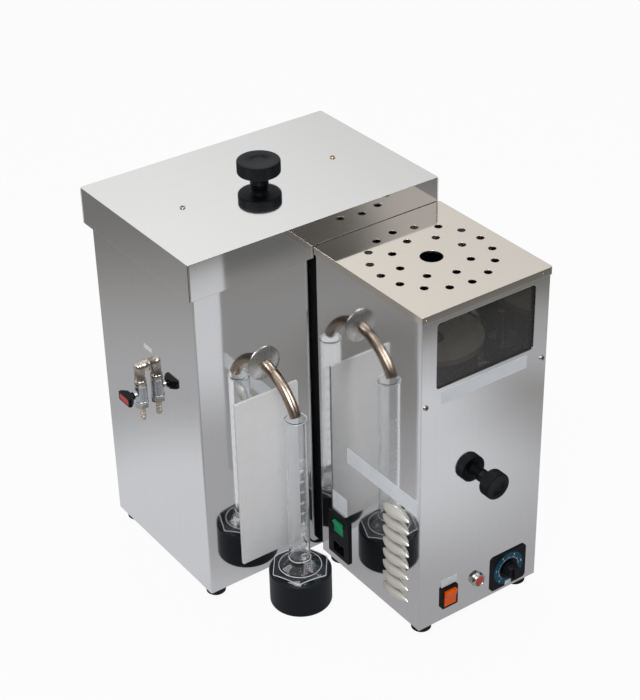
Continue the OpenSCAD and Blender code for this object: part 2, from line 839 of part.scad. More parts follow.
module front_panel() {
    color("gainsboro") place() difference() {
        cube([tower_w, sheet, wall_h]);
        translate([0, 2 * sheet, 0]) facing_front(0, 0) linear_extrude(3 * sheet) window_outline(0);
        facing_front(tower_mid, lift_z, 2 * sheet) cylinder(h = 3 * sheet, d = bush_d);
        facing_front(dial_x, dial_z, 2 * sheet) cylinder(h = 3 * sheet, d = bushing_d);
        facing_front(lamp_x, lamp_z, 2 * sheet) cylinder(h = 3 * sheet, d = lamp_neck_d);
        facing_front(rocker_x, rocker_z, 2 * sheet) linear_extrude(3 * sheet)
            square([rocker_w - 3, rocker_h - 3], center = true);
        panel_screw_places() translate([0, 0, -2 * sheet]) cylinder(h = 3 * sheet, d = small_screw_d);
    }
}

module panel_screws() {
    color("darkgray") place() panel_screw_places() screw(2 * sheet);
}

module tower_cover() {
    color("linen") place() difference() {
        translate([-cover_lip, -cover_lip, tower_h - cover_edge]) linear_extrude(cover_edge)
            rounded_rect(tower_w + 2 * cover_lip, tower_d + 2 * cover_lip, bend_r);
        translate([-cover_clear, -cover_clear, tower_h - cover_edge - sheet]) linear_extrude(cover_edge)
            rounded_rect(tower_w + 2 * cover_clear, tower_d + 2 * cover_clear, bend_r - sheet + 0.2);
        translate([tower_mid, chamber_y, tower_h - 2 * sheet]) {
            cylinder(h = 3 * sheet, d = neck_hole_d);
            for (i = [0 : 15]) rotate(i * 360 / 16) translate([vent_ring_outer, 0, 0])
                cylinder(h = 3 * sheet, d = vent_d);
            for (i = [0 : 7]) rotate(i * 360 / 8) translate([vent_ring_inner, 0, 0])
                cylinder(h = 3 * sheet, d = vent_d);
        }
        cover_screw_places() translate([0, 0, -2 * sheet]) cylinder(h = 3 * sheet, d = 2);
    }
}

module cover_screw_places() {
    for (x = [5, tower_w - 14]) facing_front(x, tower_h - cover_edge / 2, -cover_lip) children();
}

module cover_screws() {
    color("dimgray") place() cover_screw_places() {
        cylinder(h = 0.6, d1 = 3.6, d2 = 2.4);
        translate([0, 0, -sheet]) cylinder(h = sheet + hair, d = 2);
    }
}

module window_glass() {
    color("#2c2a28") place() translate([0, sheet + glass_t, 0]) facing_front(0, 0)
        linear_extrude(glass_t) window_outline(glass_lap);
}

// Retaining frame behind the glass
module window_frame() {
    color("dimgray") place() translate([0, 2 * sheet + glass_t, 0]) facing_front(0, 0)
        linear_extrude(sheet) difference() {
            window_outline(glass_lap);
            window_outline(-2);
        }
}

// Tray between the flask chamber and the controls
module chamber_floor() {
    lip = 10;
    color("silver") place() difference() {
        translate([sheet, 2 * sheet, deck_z - deck_t])
            cube([tower_w - 2 * sheet, tower_d - 3 * sheet, deck_t + lip]);
        translate([sheet + deck_t, 2 * sheet + deck_t, deck_z])
            cube([tower_w - 2 * (sheet + deck_t), tower_d - 3 * sheet - 2 * deck_t, 2 * lip]);
        rod_places() translate([0, 0, deck_z - 2 * deck_t]) cylinder(h = 4 * deck_t, d = rod_d);
    }
}

module rod_places() {
    for (side = [-1, 1]) translate([tower_mid + side * rod_x, chamber_y, 0]) children();
}

module guide_rods() {
    color("silver") place() rod_places() translate([0, 0, deck_z - deck_t])
        cylinder(h = board_z - deck_z, d = rod_d);
}

// Crossbar on the guide rods, with a long boss round each
module heater_carriage() {
    bar_w = dish_d / 2;
    color("lightsteelblue") place() difference() {
        union() {
            translate([tower_mid - rod_x, chamber_y - bar_w / 2, carriage_z])
                cube([2 * rod_x, bar_w, carriage_t]);
            rod_places() translate([0, 0, carriage_z - boss_h + carriage_t])
                cylinder(h = boss_h, d = boss_d);
        }
        rod_places() translate([0, 0, carriage_z - 2 * boss_h])
            cylinder(h = 4 * boss_h, d = rod_d + 2 * run_clear);
    }
}

// Half the width of a rack tooth at a height above the pitch line, less its share of the side play
function half_tooth(height) = rack_pitch / 4 - tooth_play / 4 - height * tan(flank_angle);

// Involute of an angle, and half the angle of a pinion tooth at a radius
function involute(a) = tan(a) * 180 / PI - a;
function half_angle(r) = half_tooth(0) / pitch_r * 180 / PI + involute(flank_angle)
    - involute(acos(min(1, base_r / r)));
function flank_point(r, side) = [r * cos(half_angle(r)), side * r * sin(half_angle(r))];

module lift_rack() {
    bar_x = tower_mid + pitch_r + dedendum;
    teeth = floor((lift_travel + 6 * tooth_m) / rack_pitch) + 2;
    color("dimgray") place() {
        translate([bar_x, pinion_y, rack_low]) cube([rack_w, pinion_w, carriage_z - rack_low]);
        for (i = [0 : teeth - 1])
            translate([tower_mid + pitch_r, pinion_y + pinion_w, lift_z + (2.5 - i) * rack_pitch])
                rotate([90, 0, 0]) linear_extrude(pinion_w) polygon([
                    [-addendum, -half_tooth(addendum)], [dedendum + hair, -half_tooth(-dedendum)],
                    [dedendum + hair, half_tooth(-dedendum)], [-addendum, half_tooth(addendum)]]);
    }
}

// Pinion with involute teeth in mesh with the rack
module lift_pinion() {
    root_r = pitch_r - dedendum;
    flank_radii = [root_r - 1, base_r, pitch_r, pitch_r + addendum / 2, pitch_r + addendum];
    color("goldenrod") place() facing_front(tower_mid, lift_z, pinion_y + pinion_w)
        linear_extrude(pinion_w) difference() {
            union() {
                circle(root_r);
                for (i = [0 : pinion_teeth - 1]) rotate(i * 360 / pinion_teeth)
                    polygon(concat([for (r = flank_radii) flank_point(r, -1)],
                        [for (i = [len(flank_radii) - 1 : -1 : 0]) flank_point(flank_radii[i], 1)]));
            }
            circle(d = shaft_d);
        }
}

module heater_dish() {
    color("lightgray") place() translate([tower_mid, chamber_y, dish_z]) difference() {
        cylinder(h = dish_h, d = dish_d);
        translate([0, 0, dish_t]) cylinder(h = dish_h, d = dish_d - 2 * dish_t);
        for (side = [-1, 1]) translate([side * 8, -dish_d / 3, -1]) cylinder(h = dish_t + 2, d = 8);
    }
}

// Tubular element: an open ring with two legs down through the dish
module heater_element() {
    ring_z = dish_z + dish_h - 16;
    ring_r = norm([8, dish_d / 3]);
    half_open = atan2(8, dish_d / 3);
    color("#5b4034") place() translate([tower_mid, chamber_y, 0]) {
        translate([0, 0, ring_z]) rotate(half_open - 90) rotate_extrude(angle = 360 - 2 * half_open)
            translate([ring_r, 0]) circle(d = 7);
        for (side = [-1, 1]) translate([side * 8, -dish_d / 3, dish_z - 10])
            cylinder(h = ring_z - dish_z + 14, d = 8);
    }
}

// Ceramic board over the heater: stepped rings round the flask's hole
module flask_board() {
    step = board_t / 4;
    ring = (board_d - board_hole_d) / 8;
    color("darkgray") place() translate([tower_mid, chamber_y, board_z]) rotate_extrude() difference() {
        square([board_d / 2, board_t]);
        translate([-1, -1]) square([board_hole_d / 2 + 1, board_t + 2]);
        for (i = [0 : 2]) translate([board_hole_d / 2 - 1, board_t - (i + 1) * step])
            square([1 + (3 - i) * ring, step + 1]);
    }
}

module lift_knob() {
    color("#161616") place() facing_front(tower_mid, lift_z, -bush_out - knob_gap)
        mushroom(lift_knob_d, lift_knob_out - bush_out - knob_gap, lift_neck_d, lift_head_h, shaft_d,
            lift_knob_out / 2);
}

module lift_shaft() {
    front = bush_out + knob_gap + lift_knob_out / 2;
    color("silver") place() facing_front(tower_mid, lift_z, bracket_y + bracket_t + 4)
        cylinder(h = bracket_y + bracket_t + 4 + front, d = shaft_d);
}

module shaft_bush() {
    tail = 14;
    color("goldenrod") place() facing_front(tower_mid, lift_z) difference() {
        union() {
            translate([0, 0, -tail]) cylinder(h = tail + bush_out, d = bush_d);
            translate([0, 0, -sheet - 3]) cylinder(h = 3, d = bush_d + 8);
        }
        translate([0, 0, -tail - 1]) cylinder(h = tail + bush_out + 2, d = shaft_d + 2 * run_clear);
    }
}

// Upright on the chamber floor that carries the shaft's inner end
module shaft_bracket() {
    color("silver") place() difference() {
        union() {
            translate([tower_mid - bracket_w / 2, bracket_y, deck_z]) {
                cube([bracket_w, bracket_t, lift_z - deck_z]);
                cube([bracket_w, bracket_foot, bracket_t]);
            }
            facing_front(tower_mid, lift_z, bracket_y + bracket_t) cylinder(h = bracket_t, d = bracket_w);
        }
        facing_front(tower_mid, lift_z, bracket_y + 2 * bracket_t)
            cylinder(h = 3 * bracket_t, d = shaft_d + 2 * run_clear);
    }
}

module regulator_plate() {
    color("#141618") place() facing_front(dial_x, dial_z) linear_extrude(dial_t) difference() {
        centred_rect(dial_w, dial_h, 6);
        circle(d = bushing_d);
    }
}

// Power regulator behind the panel, with its threaded bushing through panel and plate
module regulator_body() {
    can_d = 34;
    can_l = 22;
    color("dimgray") place() facing_front(dial_x, dial_z, sheet) difference() {
        union() {
            translate([0, 0, -can_l]) cylinder(h = can_l, d = can_d);
            cylinder(h = sheet + dial_t + 1.5, d = bushing_d);
        }
        translate([0, 0, -can_l / 2]) cylinder(h = can_l, d = spindle_d + 2 * run_clear);
    }
}

module regulator_spindle() {
    color("silver") place() facing_front(dial_x, dial_z, 4)
        cylinder(h = 4 + dial_t + 2.5 + dial_knob_h - 3, d = spindle_d);
}

// Pointer knob: a tapered body with a bar across its face
module regulator_knob() {
    base = dial_t + 2.5;
    color("#101010") place() facing_front(dial_x, dial_z, -base) difference() {
        union() {
            cylinder(h = 3, d = dial_knob_d);
            translate([0, 0, 3]) cylinder(h = dial_knob_h - 6, d1 = dial_knob_d - 4, d2 = dial_knob_d - 6);
            translate([0, 0, 3]) linear_extrude(dial_knob_h - 3) centred_rect(7, dial_knob_d - 6, 3);
        }
        translate([0, 0, -1]) cylinder(h = dial_knob_h - 2, d = spindle_d);
    }
}

// Chrome lamp holder: barrel in front, threaded neck and nut behind
module lamp_bezel() {
    color("silver") place() facing_front(lamp_x, lamp_z) difference() {
        union() {
            cylinder(h = 1.5, d = lamp_d + 2);
            cylinder(h = lamp_out, d = lamp_d);
            translate([0, 0, -16]) cylinder(h = 16 + hair, d = lamp_neck_d);
            translate([0, 0, -sheet - 4]) hex_prism(lamp_neck_d + 5, 4);
        }
        translate([0, 0, lamp_out - lens_in]) cylinder(h = 2 * lens_in, d = lens_d);
    }
}

module lamp_lens() {
    dome = 2;
    color("red") place() facing_front(lamp_x, lamp_z) translate([0, 0, lamp_out - lens_in]) rotate_extrude()
        intersection() {
            translate([0, lens_in + dome - lens_d]) circle(lens_d);
            square([lens_d / 2, lens_in + dome]);
        }
}

// Open box with a bezel, pivot holes in its side walls
module switch_frame(w, h, bezel, wall, depth, mouth_w, mouth_h) {
    difference() {
        union() {
            linear_extrude(bezel) centred_rect(w, h, 2);
            translate([0, 0, -depth]) linear_extrude(depth + hair)
                square([w - 3 - panel_hole_fit, h - 3 - panel_hole_fit], center = true);
        }
        translate([0, 0, wall - depth]) linear_extrude(2 * depth) square([mouth_w, mouth_h], center = true);
        translate([0, 0, -pivot_in]) rotate([0, 90, 0])
            cylinder(h = mouth_w + 2 * (pivot_stub + run_clear), d = pivot_d + 2 * run_clear, center = true);
    }
}

// Rocker with its pivot stubs, tilted with its upper edge out
module rocker_paddle(w, h, rise) {
    translate([0, 0, -pivot_in]) rotate([rocker_tilt, 0, 0]) {
        rotate([90, 0, 90]) linear_extrude(w, center = true) polygon([
            [-h / 2, -2], [h / 2, -2], [h / 2, rise], [0, rise - 1.8], [-h / 2, rise]]);
        rotate([0, 90, 0])
            cylinder(h = w + 2 * (rocker_gap + pivot_stub - run_clear), d = pivot_d, center = true);
    }
}

module rocker_frame() {
    color("#141414") place() facing_front(rocker_x, rocker_z)
        switch_frame(rocker_w, rocker_h, frame_t, frame_wall, frame_depth, rocker_mouth_w, rocker_mouth_h);
}

module power_rocker() {
    color("orangered") place() facing_front(rocker_x, rocker_z)
        rocker_paddle(rocker_mouth_w - 2 * rocker_gap, rocker_mouth_h - 4, pivot_in + frame_t + 2.5);
}

// Mains inlet: bezel and box with a rocker well, a fuse well and a socket
module inlet_housing() {
    color("#101010") place() facing_left(inlet_y, inlet_z) difference() {
        union() {
            linear_extrude(inlet_t) centred_rect(inlet_w, inlet_h, 2);
            translate([0, 0, -inlet_depth]) linear_extrude(inlet_depth + hair)
                square([inlet_w - 4 - panel_hole_fit, inlet_h - 4 - panel_hole_fit], center = true);
        }
        translate([0, mains_up, -mains_depth]) linear_extrude(2 * mains_depth)
            square([mains_w, mains_h], center = true);
        translate([0, mains_up, -pivot_in]) rotate([0, 90, 0])
            cylinder(h = mains_w + 2 * (pivot_stub + run_clear), d = pivot_d + 2 * run_clear, center = true);
        translate([0, drawer_up, -drawer_depth - drawer_gap]) linear_extrude(2 * drawer_depth)
            square([drawer_w, drawer_h], center = true);
        translate([0, socket_up, inlet_t - socket_depth]) linear_extrude(2 * socket_depth)
            centred_rect(socket_w, socket_h, 2);
        for (p = pin_spots) translate([p[0], socket_up + p[1], -inlet_depth - 1])
            linear_extrude(inlet_depth) square(pin_size, center = true);
    }
}

module inlet_pins() {
    color("gold") place() facing_left(inlet_y, inlet_z)
        for (p = pin_spots) translate([p[0], socket_up + p[1], -inlet_depth - 4])
            linear_extrude(inlet_depth + 4 + inlet_t - pin_front) square(pin_size, center = true);
}

module fuse_drawer() {
    color("#1c1c1c") place() facing_left(inlet_y, inlet_z) translate([0, drawer_up, -drawer_depth])
        difference() {
            linear_extrude(drawer_depth + inlet_t)
                square([drawer_w - 2 * drawer_gap, drawer_h - 2 * drawer_gap], center = true);
            translate([0, 0, 3]) linear_extrude(drawer_depth - 6)
                square([drawer_w - 6, drawer_h + 2], center = true);
            translate([0, -drawer_h / 2, drawer_depth + inlet_t]) rotate([0, 90, 0])
                cylinder(h = drawer_w / 3, d = 3, center = true);
        }
}

module mains_rocker() {
    color("seagreen") place() facing_left(inlet_y, inlet_z) translate([0, mains_up, 0])
        rocker_paddle(mains_w - 2 * rocker_gap, mains_h - 3, pivot_in + inlet_t + 1.5);
}

bath_casing();
bath_tank();
bath_insulation();
bath_lid();
lid_liner();
lid_knob();
lid_stud();
lid_screws();
condenser_tube();
tube_rosette();
receiver_cylinder();
rest_block();
reading_plate();
valve_elbow();
valve_body();
valve_ball();
valve_lever();
lever_insert();
hose_barb();
bath_feet();
tower_feet();
tower_spacer();
tower_shell();
tower_base();
front_panel();
panel_screws();
tower_cover();
cover_screws();
window_glass();
window_frame();
chamber_floor();
guide_rods();
heater_carriage();
lift_rack();
heater_dish();
heater_element();
flask_board();
lift_knob();
lift_shaft();
lift_pinion();
shaft_bush();
shaft_bracket();
regulator_plate();
regulator_body();
regulator_spindle();
regulator_knob();
lamp_bezel();
lamp_lens();
rocker_frame();
power_rocker();
inlet_housing();
inlet_pins();
fuse_drawer();
mains_rocker();
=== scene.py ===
import math

import bpy
import numpy as np
from mathutils import Matrix, Vector


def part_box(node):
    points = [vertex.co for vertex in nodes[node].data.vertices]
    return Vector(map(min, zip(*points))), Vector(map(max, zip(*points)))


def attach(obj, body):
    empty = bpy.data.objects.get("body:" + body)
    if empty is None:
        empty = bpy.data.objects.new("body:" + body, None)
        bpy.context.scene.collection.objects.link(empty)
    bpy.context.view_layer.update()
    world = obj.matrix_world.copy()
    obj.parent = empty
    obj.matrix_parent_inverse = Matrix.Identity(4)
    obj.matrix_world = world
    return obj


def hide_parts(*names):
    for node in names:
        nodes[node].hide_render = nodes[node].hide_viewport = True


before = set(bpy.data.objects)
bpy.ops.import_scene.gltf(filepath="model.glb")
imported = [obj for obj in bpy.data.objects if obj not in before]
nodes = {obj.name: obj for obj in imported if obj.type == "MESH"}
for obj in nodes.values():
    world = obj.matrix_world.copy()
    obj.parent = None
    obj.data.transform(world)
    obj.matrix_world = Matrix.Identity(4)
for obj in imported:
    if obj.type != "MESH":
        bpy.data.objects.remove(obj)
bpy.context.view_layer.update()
print("frame loaded:", len(nodes), "nodes")

fullTurn, quarterTurn = 2 * math.pi, math.pi / 2
cornerSteps = 8     # points on each rounded corner of a plate
edgeSteps = 4       # points on the rounded edge of a plate
leastRound = 0.05   # smallest corner radius of a plate, in millimetres
softSteps = 6       # points on a rounded edge of a turned piece


def boxOf(node):
    # lowest and highest corner of a node in millimetres
    low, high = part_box(node)
    return np.array(low) * 1000.0, np.array(high) * 1000.0


# Millimetres from the tower's front left bottom edge, the frame that the part is drawn in
drawShift = boxOf("front_panel")[0]


def toRow(points):
    # millimetres in the drawing's frame to metres in the row's frame
    return (np.asarray(points, float) + drawShift) / 1000.0


def fromRow(node):
    # lowest corner, highest corner and middle of a node in the drawing's frame
    low, high = boxOf(node)
    low, high = low - drawShift, high - drawShift
    return low, high, (low + high) / 2


def gridFaces(nu, nv, closeU=False, closeV=False):
    # quads of a grid of nu rows by nv columns, wrapped where a direction closes
    u = np.arange(nu if closeU else nu - 1)
    v = np.arange(nv if closeV else nv - 1)
    uu, vv = np.meshgrid(u, v, indexing="ij")
    u2, v2 = (uu + 1) % nu, (vv + 1) % nv
    return np.stack([uu * nv + vv, u2 * nv + vv, u2 * nv + v2, uu * nv + v2], -1).reshape(-1, 4)


def addPiece(name, verts, faces, material, body, slot, smooth=True):
    mesh = bpy.data.meshes.new(name)
    mesh.from_pydata(np.asarray(verts).tolist(), [], [np.asarray(f).tolist() for f in faces])
    mesh.validate()
    mesh.update()
    mesh.polygons.foreach_set("use_smooth", np.full(len(mesh.polygons), smooth))
    mesh.materials.append(material)
    piece = bpy.data.objects.new(name, mesh)
    bpy.context.scene.collection.objects.link(piece)
    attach(piece, body)
    return piece


def joinParts(parts):
    # several (verts, faces) pairs as one, each part's faces moved on by the vertices before it
    starts = np.cumsum([0] + [len(v) for v, f in parts[:-1]])
    faces = [np.asarray(face) + start for (v, f), start in zip(parts, starts) for face in f]
    return np.concatenate([v for v, f in parts]), faces


def around(count):
    # angles of a full turn, the last one short of closing it
    return np.linspace(0, fullTurn, count, endpoint=False)


def turned(profile, count, ripple=None):
    # a profile of (radius, height) turned about Z: x = r cos a, y = r sin a, z = height
    profile = np.asarray(profile, float)
    angle = around(count)[:, None]
    radius = np.repeat(profile[None, :, 0], count, 0)
    height = np.repeat(profile[None, :, 1], count, 0)
    if ripple is not None:
        radius = ripple(radius, height, angle)
    verts = np.stack([radius * np.cos(angle), radius * np.sin(angle), height], -1)
    return verts.reshape(-1, 3), gridFaces(count, len(profile), True, False)


def roundedOutline(w, h, r):
    # quarter arcs of radius r about the four inner corners, anticlockwise
    arc = np.linspace(0, quarterTurn, cornerSteps)
    x, y = w / 2 - r, h / 2 - r
    centres = np.array([[x, y], [-x, y], [-x, -y], [x, -y]])
    turns = arc[None, :] + np.arange(4)[:, None] * quarterTurn
    return (centres[:, None, :] + r * np.stack([np.cos(turns), np.sin(turns)], -1)).reshape(-1, 2)


def softPlate(w, h, r, thick, edge):
    # rounded outline carried up its edge and over a small rounding, with a flat face at both ends
    count = 4 * cornerSteps
    turns = np.linspace(0, quarterTurn, edgeSteps)
    insets, heights = edge * (1 - np.cos(turns)), thick - edge + edge * np.sin(turns)
    rings = [np.c_[roundedOutline(w, h, r), np.zeros(count)]]
    rings += [np.c_[roundedOutline(w - 2 * i, h - 2 * i, max(r - i, leastRound)), np.full(count, z)]
              for i, z in zip(insets, heights)]
    quads = gridFaces(len(rings), count, False, True)[:, ::-1]
    last = count * (len(rings) - 1)
    return np.concatenate(rings), list(quads) + [np.arange(last, last + count), np.arange(count)[::-1]]


def onFront(local, x, z, y=0.0):
    # local x right, local y up, local z out of the tower's front
    local = np.asarray(local)
    return toRow(np.stack([local[:, 0] + x, y - local[:, 2], local[:, 1] + z], -1))


def onLeft(local, y, z, x=0.0):
    # local x towards the front, local y up, local z out of a left wall
    local = np.asarray(local)
    return toRow(np.stack([x - local[:, 2], y - local[:, 0], local[:, 1] + z], -1))


def wordShape(word, size):
    # outline of a number as a flat mesh, centred on its own middle
    curve = bpy.data.curves.new("numberShape", "FONT")
    curve.body, curve.size, curve.resolution_u = word, size, 3
    holder = bpy.data.objects.new("numberShape", curve)
    bpy.context.scene.collection.objects.link(holder)
    bpy.context.view_layer.update()
    shown = holder.evaluated_get(bpy.context.evaluated_depsgraph_get())
    flat = bpy.data.meshes.new_from_object(shown)
    places = np.empty(len(flat.vertices) * 3)
    flat.vertices.foreach_get("co", places)
    faces = [list(p.vertices) for p in flat.polygons]
    bpy.data.objects.remove(holder)
    bpy.data.curves.remove(curve)
    bpy.data.meshes.remove(flat)
    places = places.reshape(-1, 3)
    return places - (places.min(0) + places.max(0)) / 2, faces


def startMaterial(name):
    mat = bpy.data.materials.new(name)
    mat.use_nodes = True
    return mat, mat.node_tree, mat.node_tree.nodes["Principled BSDF"]


def setInputs(node, **values):
    for key, value in values.items():
        node.inputs[key.replace("_", " ")].default_value = value


def addNode(tree, kind, **values):
    # a value goes to the node's own setting of that name, or else to its input
    node = tree.nodes.new(kind)
    for key, value in values.items():
        if hasattr(node, key):
            setattr(node, key, value)
        else:
            setInputs(node, **{key: value})
    return node


def feed(tree, value, socket):
    # a number is set, an output is linked
    if isinstance(value, (int, float)):
        socket.default_value = value
    else:
        tree.links.new(value, socket)


def mathNode(tree, operation, first, second):
    node = addNode(tree, "ShaderNodeMath", operation=operation)
    feed(tree, first, node.inputs[0])
    feed(tree, second, node.inputs[1])
    return node.outputs[0]


def timesNode(tree, first, second):
    return mathNode(tree, "MULTIPLY", first, second)


def spanNode(tree, source, ends, low=0.0, high=1.0, smooth=False):
    # carries source from one end to the other over to low and high, held outside the ends
    node = addNode(tree, "ShaderNodeMapRange", From_Min=ends[0], From_Max=ends[1], To_Min=low, To_Max=high,
                   interpolation_type="SMOOTHSTEP" if smooth else "LINEAR")
    tree.links.new(source, node.inputs["Value"])
    return node.outputs["Result"]


def splitNode(tree, source):
    node = tree.nodes.new("ShaderNodeSeparateXYZ")
    tree.links.new(source, node.inputs[0])
    return node.outputs


def rampNode(tree, source, stops):
    ramp = tree.nodes.new("ShaderNodeValToRGB")
    elements = ramp.color_ramp.elements
    for element, (position, colour) in zip(elements, (stops[0], stops[-1])):
        element.position, element.color = position, colour + (1,)
    for position, colour in stops[1:-1]:
        elements.new(position).color = colour + (1,)
    tree.links.new(source, ramp.inputs["Fac"])
    return ramp.outputs["Color"]


def blendNode(tree, share, first, second):
    # the first colour, an output, turning to the second, a fixed one
    node = addNode(tree, "ShaderNodeMix", data_type="RGBA")
    tree.links.new(share, node.inputs[0])
    tree.links.new(first, node.inputs[6])
    node.inputs[7].default_value = second + (1,)
    return node.outputs[2]


def mixShaders(tree, share, first, second):
    mix = tree.nodes.new("ShaderNodeMixShader")
    feed(tree, share, mix.inputs["Fac"])
    tree.links.new(first.outputs[0], mix.inputs[1])
    tree.links.new(second.outputs[0], mix.inputs[2])
    return mix


def bumpNode(tree, height, depth, normal=None):
    bump = addNode(tree, "ShaderNodeBump", Strength=1.0)
    tree.links.new(height, bump.inputs["Height"])
    tree.links.new(depth, bump.inputs["Distance"])
    if normal is not None:
        tree.links.new(normal, bump.inputs["Normal"])
    return bump.outputs["Normal"]


vectorSocket, valueSocket = "NodeSocketVector", "NodeSocketFloat"
noiseSpan = (0.3, 0.7)      # values that a noise mostly keeps to
streakRough = (0.75, 1.25)  # shares of a metal's roughness, from the darkest streak to the palest


def startGroup(name, inputs, outputs):
    group = bpy.data.node_groups.new(name, "ShaderNodeTree")
    for label, kind, value in inputs:
        socket = group.interface.new_socket(label, in_out="INPUT", socket_type=kind)
        if value is not None:
            socket.default_value = value
    for label, kind in outputs:
        group.interface.new_socket(label, in_out="OUTPUT", socket_type=kind)
    return group, group.nodes.new("NodeGroupInput").outputs, group.nodes.new("NodeGroupOutput").inputs


def makeSheetPolish():
    # long fine streaks of the rolled sheet, and slow waves where it isn't quite flat
    group, enter, leave = startGroup("sheetPolish", [
        ("Vector", vectorSocket, None), ("Stretch", vectorSocket, (1.0, 1.0, 1.0)),
        ("Wave Depth", valueSocket, 0.0005), ("Streak Depth", valueSocket, 0.00001),
        ("Normal", vectorSocket, None)],
        [("Tone", valueSocket), ("Rough", valueSocket), ("Normal", vectorSocket)])
    link = group.links.new
    stretch = addNode(group, "ShaderNodeVectorMath", operation="MULTIPLY")
    link(enter["Vector"], stretch.inputs[0])
    link(enter["Stretch"], stretch.inputs[1])
    streak = addNode(group, "ShaderNodeTexNoise", Scale=1.0, Detail=4.0, Roughness=0.65)
    link(stretch.outputs[0], streak.inputs["Vector"])
    wave = addNode(group, "ShaderNodeTexNoise", Scale=5.0, Detail=1.0, Roughness=0.4)
    link(enter["Vector"], wave.inputs["Vector"])
    waved = bumpNode(group, wave.outputs["Fac"], enter["Wave Depth"], enter["Normal"])
    link(spanNode(group, streak.outputs["Fac"], noiseSpan), leave["Tone"])
    link(spanNode(group, streak.outputs["Fac"], noiseSpan, *streakRough), leave["Rough"])
    link(bumpNode(group, streak.outputs["Fac"], enter["Streak Depth"], waved), leave["Normal"])
    return group


def makeMouldGrain():
    # fine pebble of moulded plastic and rubber, with a broad soft unevenness of tone
    group, enter, leave = startGroup("mouldGrain", [
        ("Vector", vectorSocket, None), ("Scale", valueSocket, 1800.0), ("Depth", valueSocket, 0.00004)],
        [("Tone", valueSocket), ("Normal", vectorSocket)])
    link = group.links.new
    pebble = addNode(group, "ShaderNodeTexNoise", Detail=3.0, Roughness=0.6)
    link(enter["Vector"], pebble.inputs["Vector"])
    link(enter["Scale"], pebble.inputs["Scale"])
    broad = addNode(group, "ShaderNodeTexNoise", Scale=45.0, Detail=2.0)
    link(enter["Vector"], broad.inputs["Vector"])
    both = mathNode(group, "ADD", pebble.outputs["Fac"], broad.outputs["Fac"])
    link(timesNode(group, both, 0.5), leave["Tone"])
    link(bumpNode(group, pebble.outputs["Fac"], enter["Depth"]), leave["Normal"])
    return group


sheetPolish = makeSheetPolish()
mouldGrain = makeMouldGrain()


def placeGroup(tree, group, **values):
    # the group's node and the place that it is fed with
    node = tree.nodes.new("ShaderNodeGroup")
    node.node_tree = group
    setInputs(node, **values)
    place = tree.nodes.new("ShaderNodeTexCoord").outputs["Object"]
    tree.links.new(place, node.inputs["Vector"])
    return node, place


foldRadius = 0.0009     # edges of sheet look folded to this radius, in metres
roughSpread = 0.15      # how far the roughness of a moulded piece varies


def steelMaterial(name, dark, light, rough, stretch, wave, streak, pressed=None):
    mat, tree, shader = startMaterial(name)
    link = tree.links.new
    polish, place = placeGroup(tree, sheetPolish, Stretch=stretch, Wave_Depth=wave, Streak_Depth=streak)
    edge = addNode(tree, "ShaderNodeBevel", samples=4, Radius=foldRadius)
    link(edge.outputs["Normal"], polish.inputs["Normal"])
    colour = rampNode(tree, polish.outputs["Tone"], [(0.0, dark), (1.0, light)])
    roughness = timesNode(tree, polish.outputs["Rough"], rough)
    setInputs(shader, Metallic=1.0)
    if pressed is not None:
        # past the wall's plane the pressed sheet has lost its polish, and its darker tone there is painted
        # shade
        past = spanNode(tree, splitNode(tree, place)["X"], pressed["reach"])
        colour = blendNode(tree, past, colour, pressed["colour"])
        roughness = mathNode(tree, "ADD", roughness, timesNode(tree, past, pressed["rough"]))
        dulled = timesNode(tree, past, pressed["dull"])
        link(mathNode(tree, "SUBTRACT", 1.0, dulled), shader.inputs["Metallic"])
    link(colour, shader.inputs["Base Color"])
    link(roughness, shader.inputs["Roughness"])
    link(polish.outputs["Normal"], shader.inputs["Normal"])
    return mat


def plasticMaterial(name, dark, light, rough, scale, depth, coat=0.0, gloss=0.5):
    mat, tree, shader = startMaterial(name)
    link = tree.links.new
    grain = placeGroup(tree, mouldGrain, Scale=scale, Depth=depth)[0].outputs
    link(rampNode(tree, grain["Tone"], list(zip(noiseSpan, (dark, light)))), shader.inputs["Base Color"])
    link(spanNode(tree, grain["Tone"], noiseSpan, rough * (1 - roughSpread), rough * (1 + roughSpread)),
         shader.inputs["Roughness"])
    link(grain["Normal"], shader.inputs["Normal"])
    setInputs(shader, Coat_Weight=coat, Specular_IOR_Level=gloss)
    return mat


# Receiver's glass: the foot's height in millimetres, half the run of its change in metres, how much
# the foot mirrors face on and at its edges
clearSet = {"colour": (0.97, 0.98, 0.99, 1), "ior": 1.5, "scale": 60.0, "depth": 0.00002, "foot": 21.0,
            "change": 0.002, "sheen": 0.04, "faceShare": 0.05, "edgeShare": 0.6, "edgePower": 4.0}


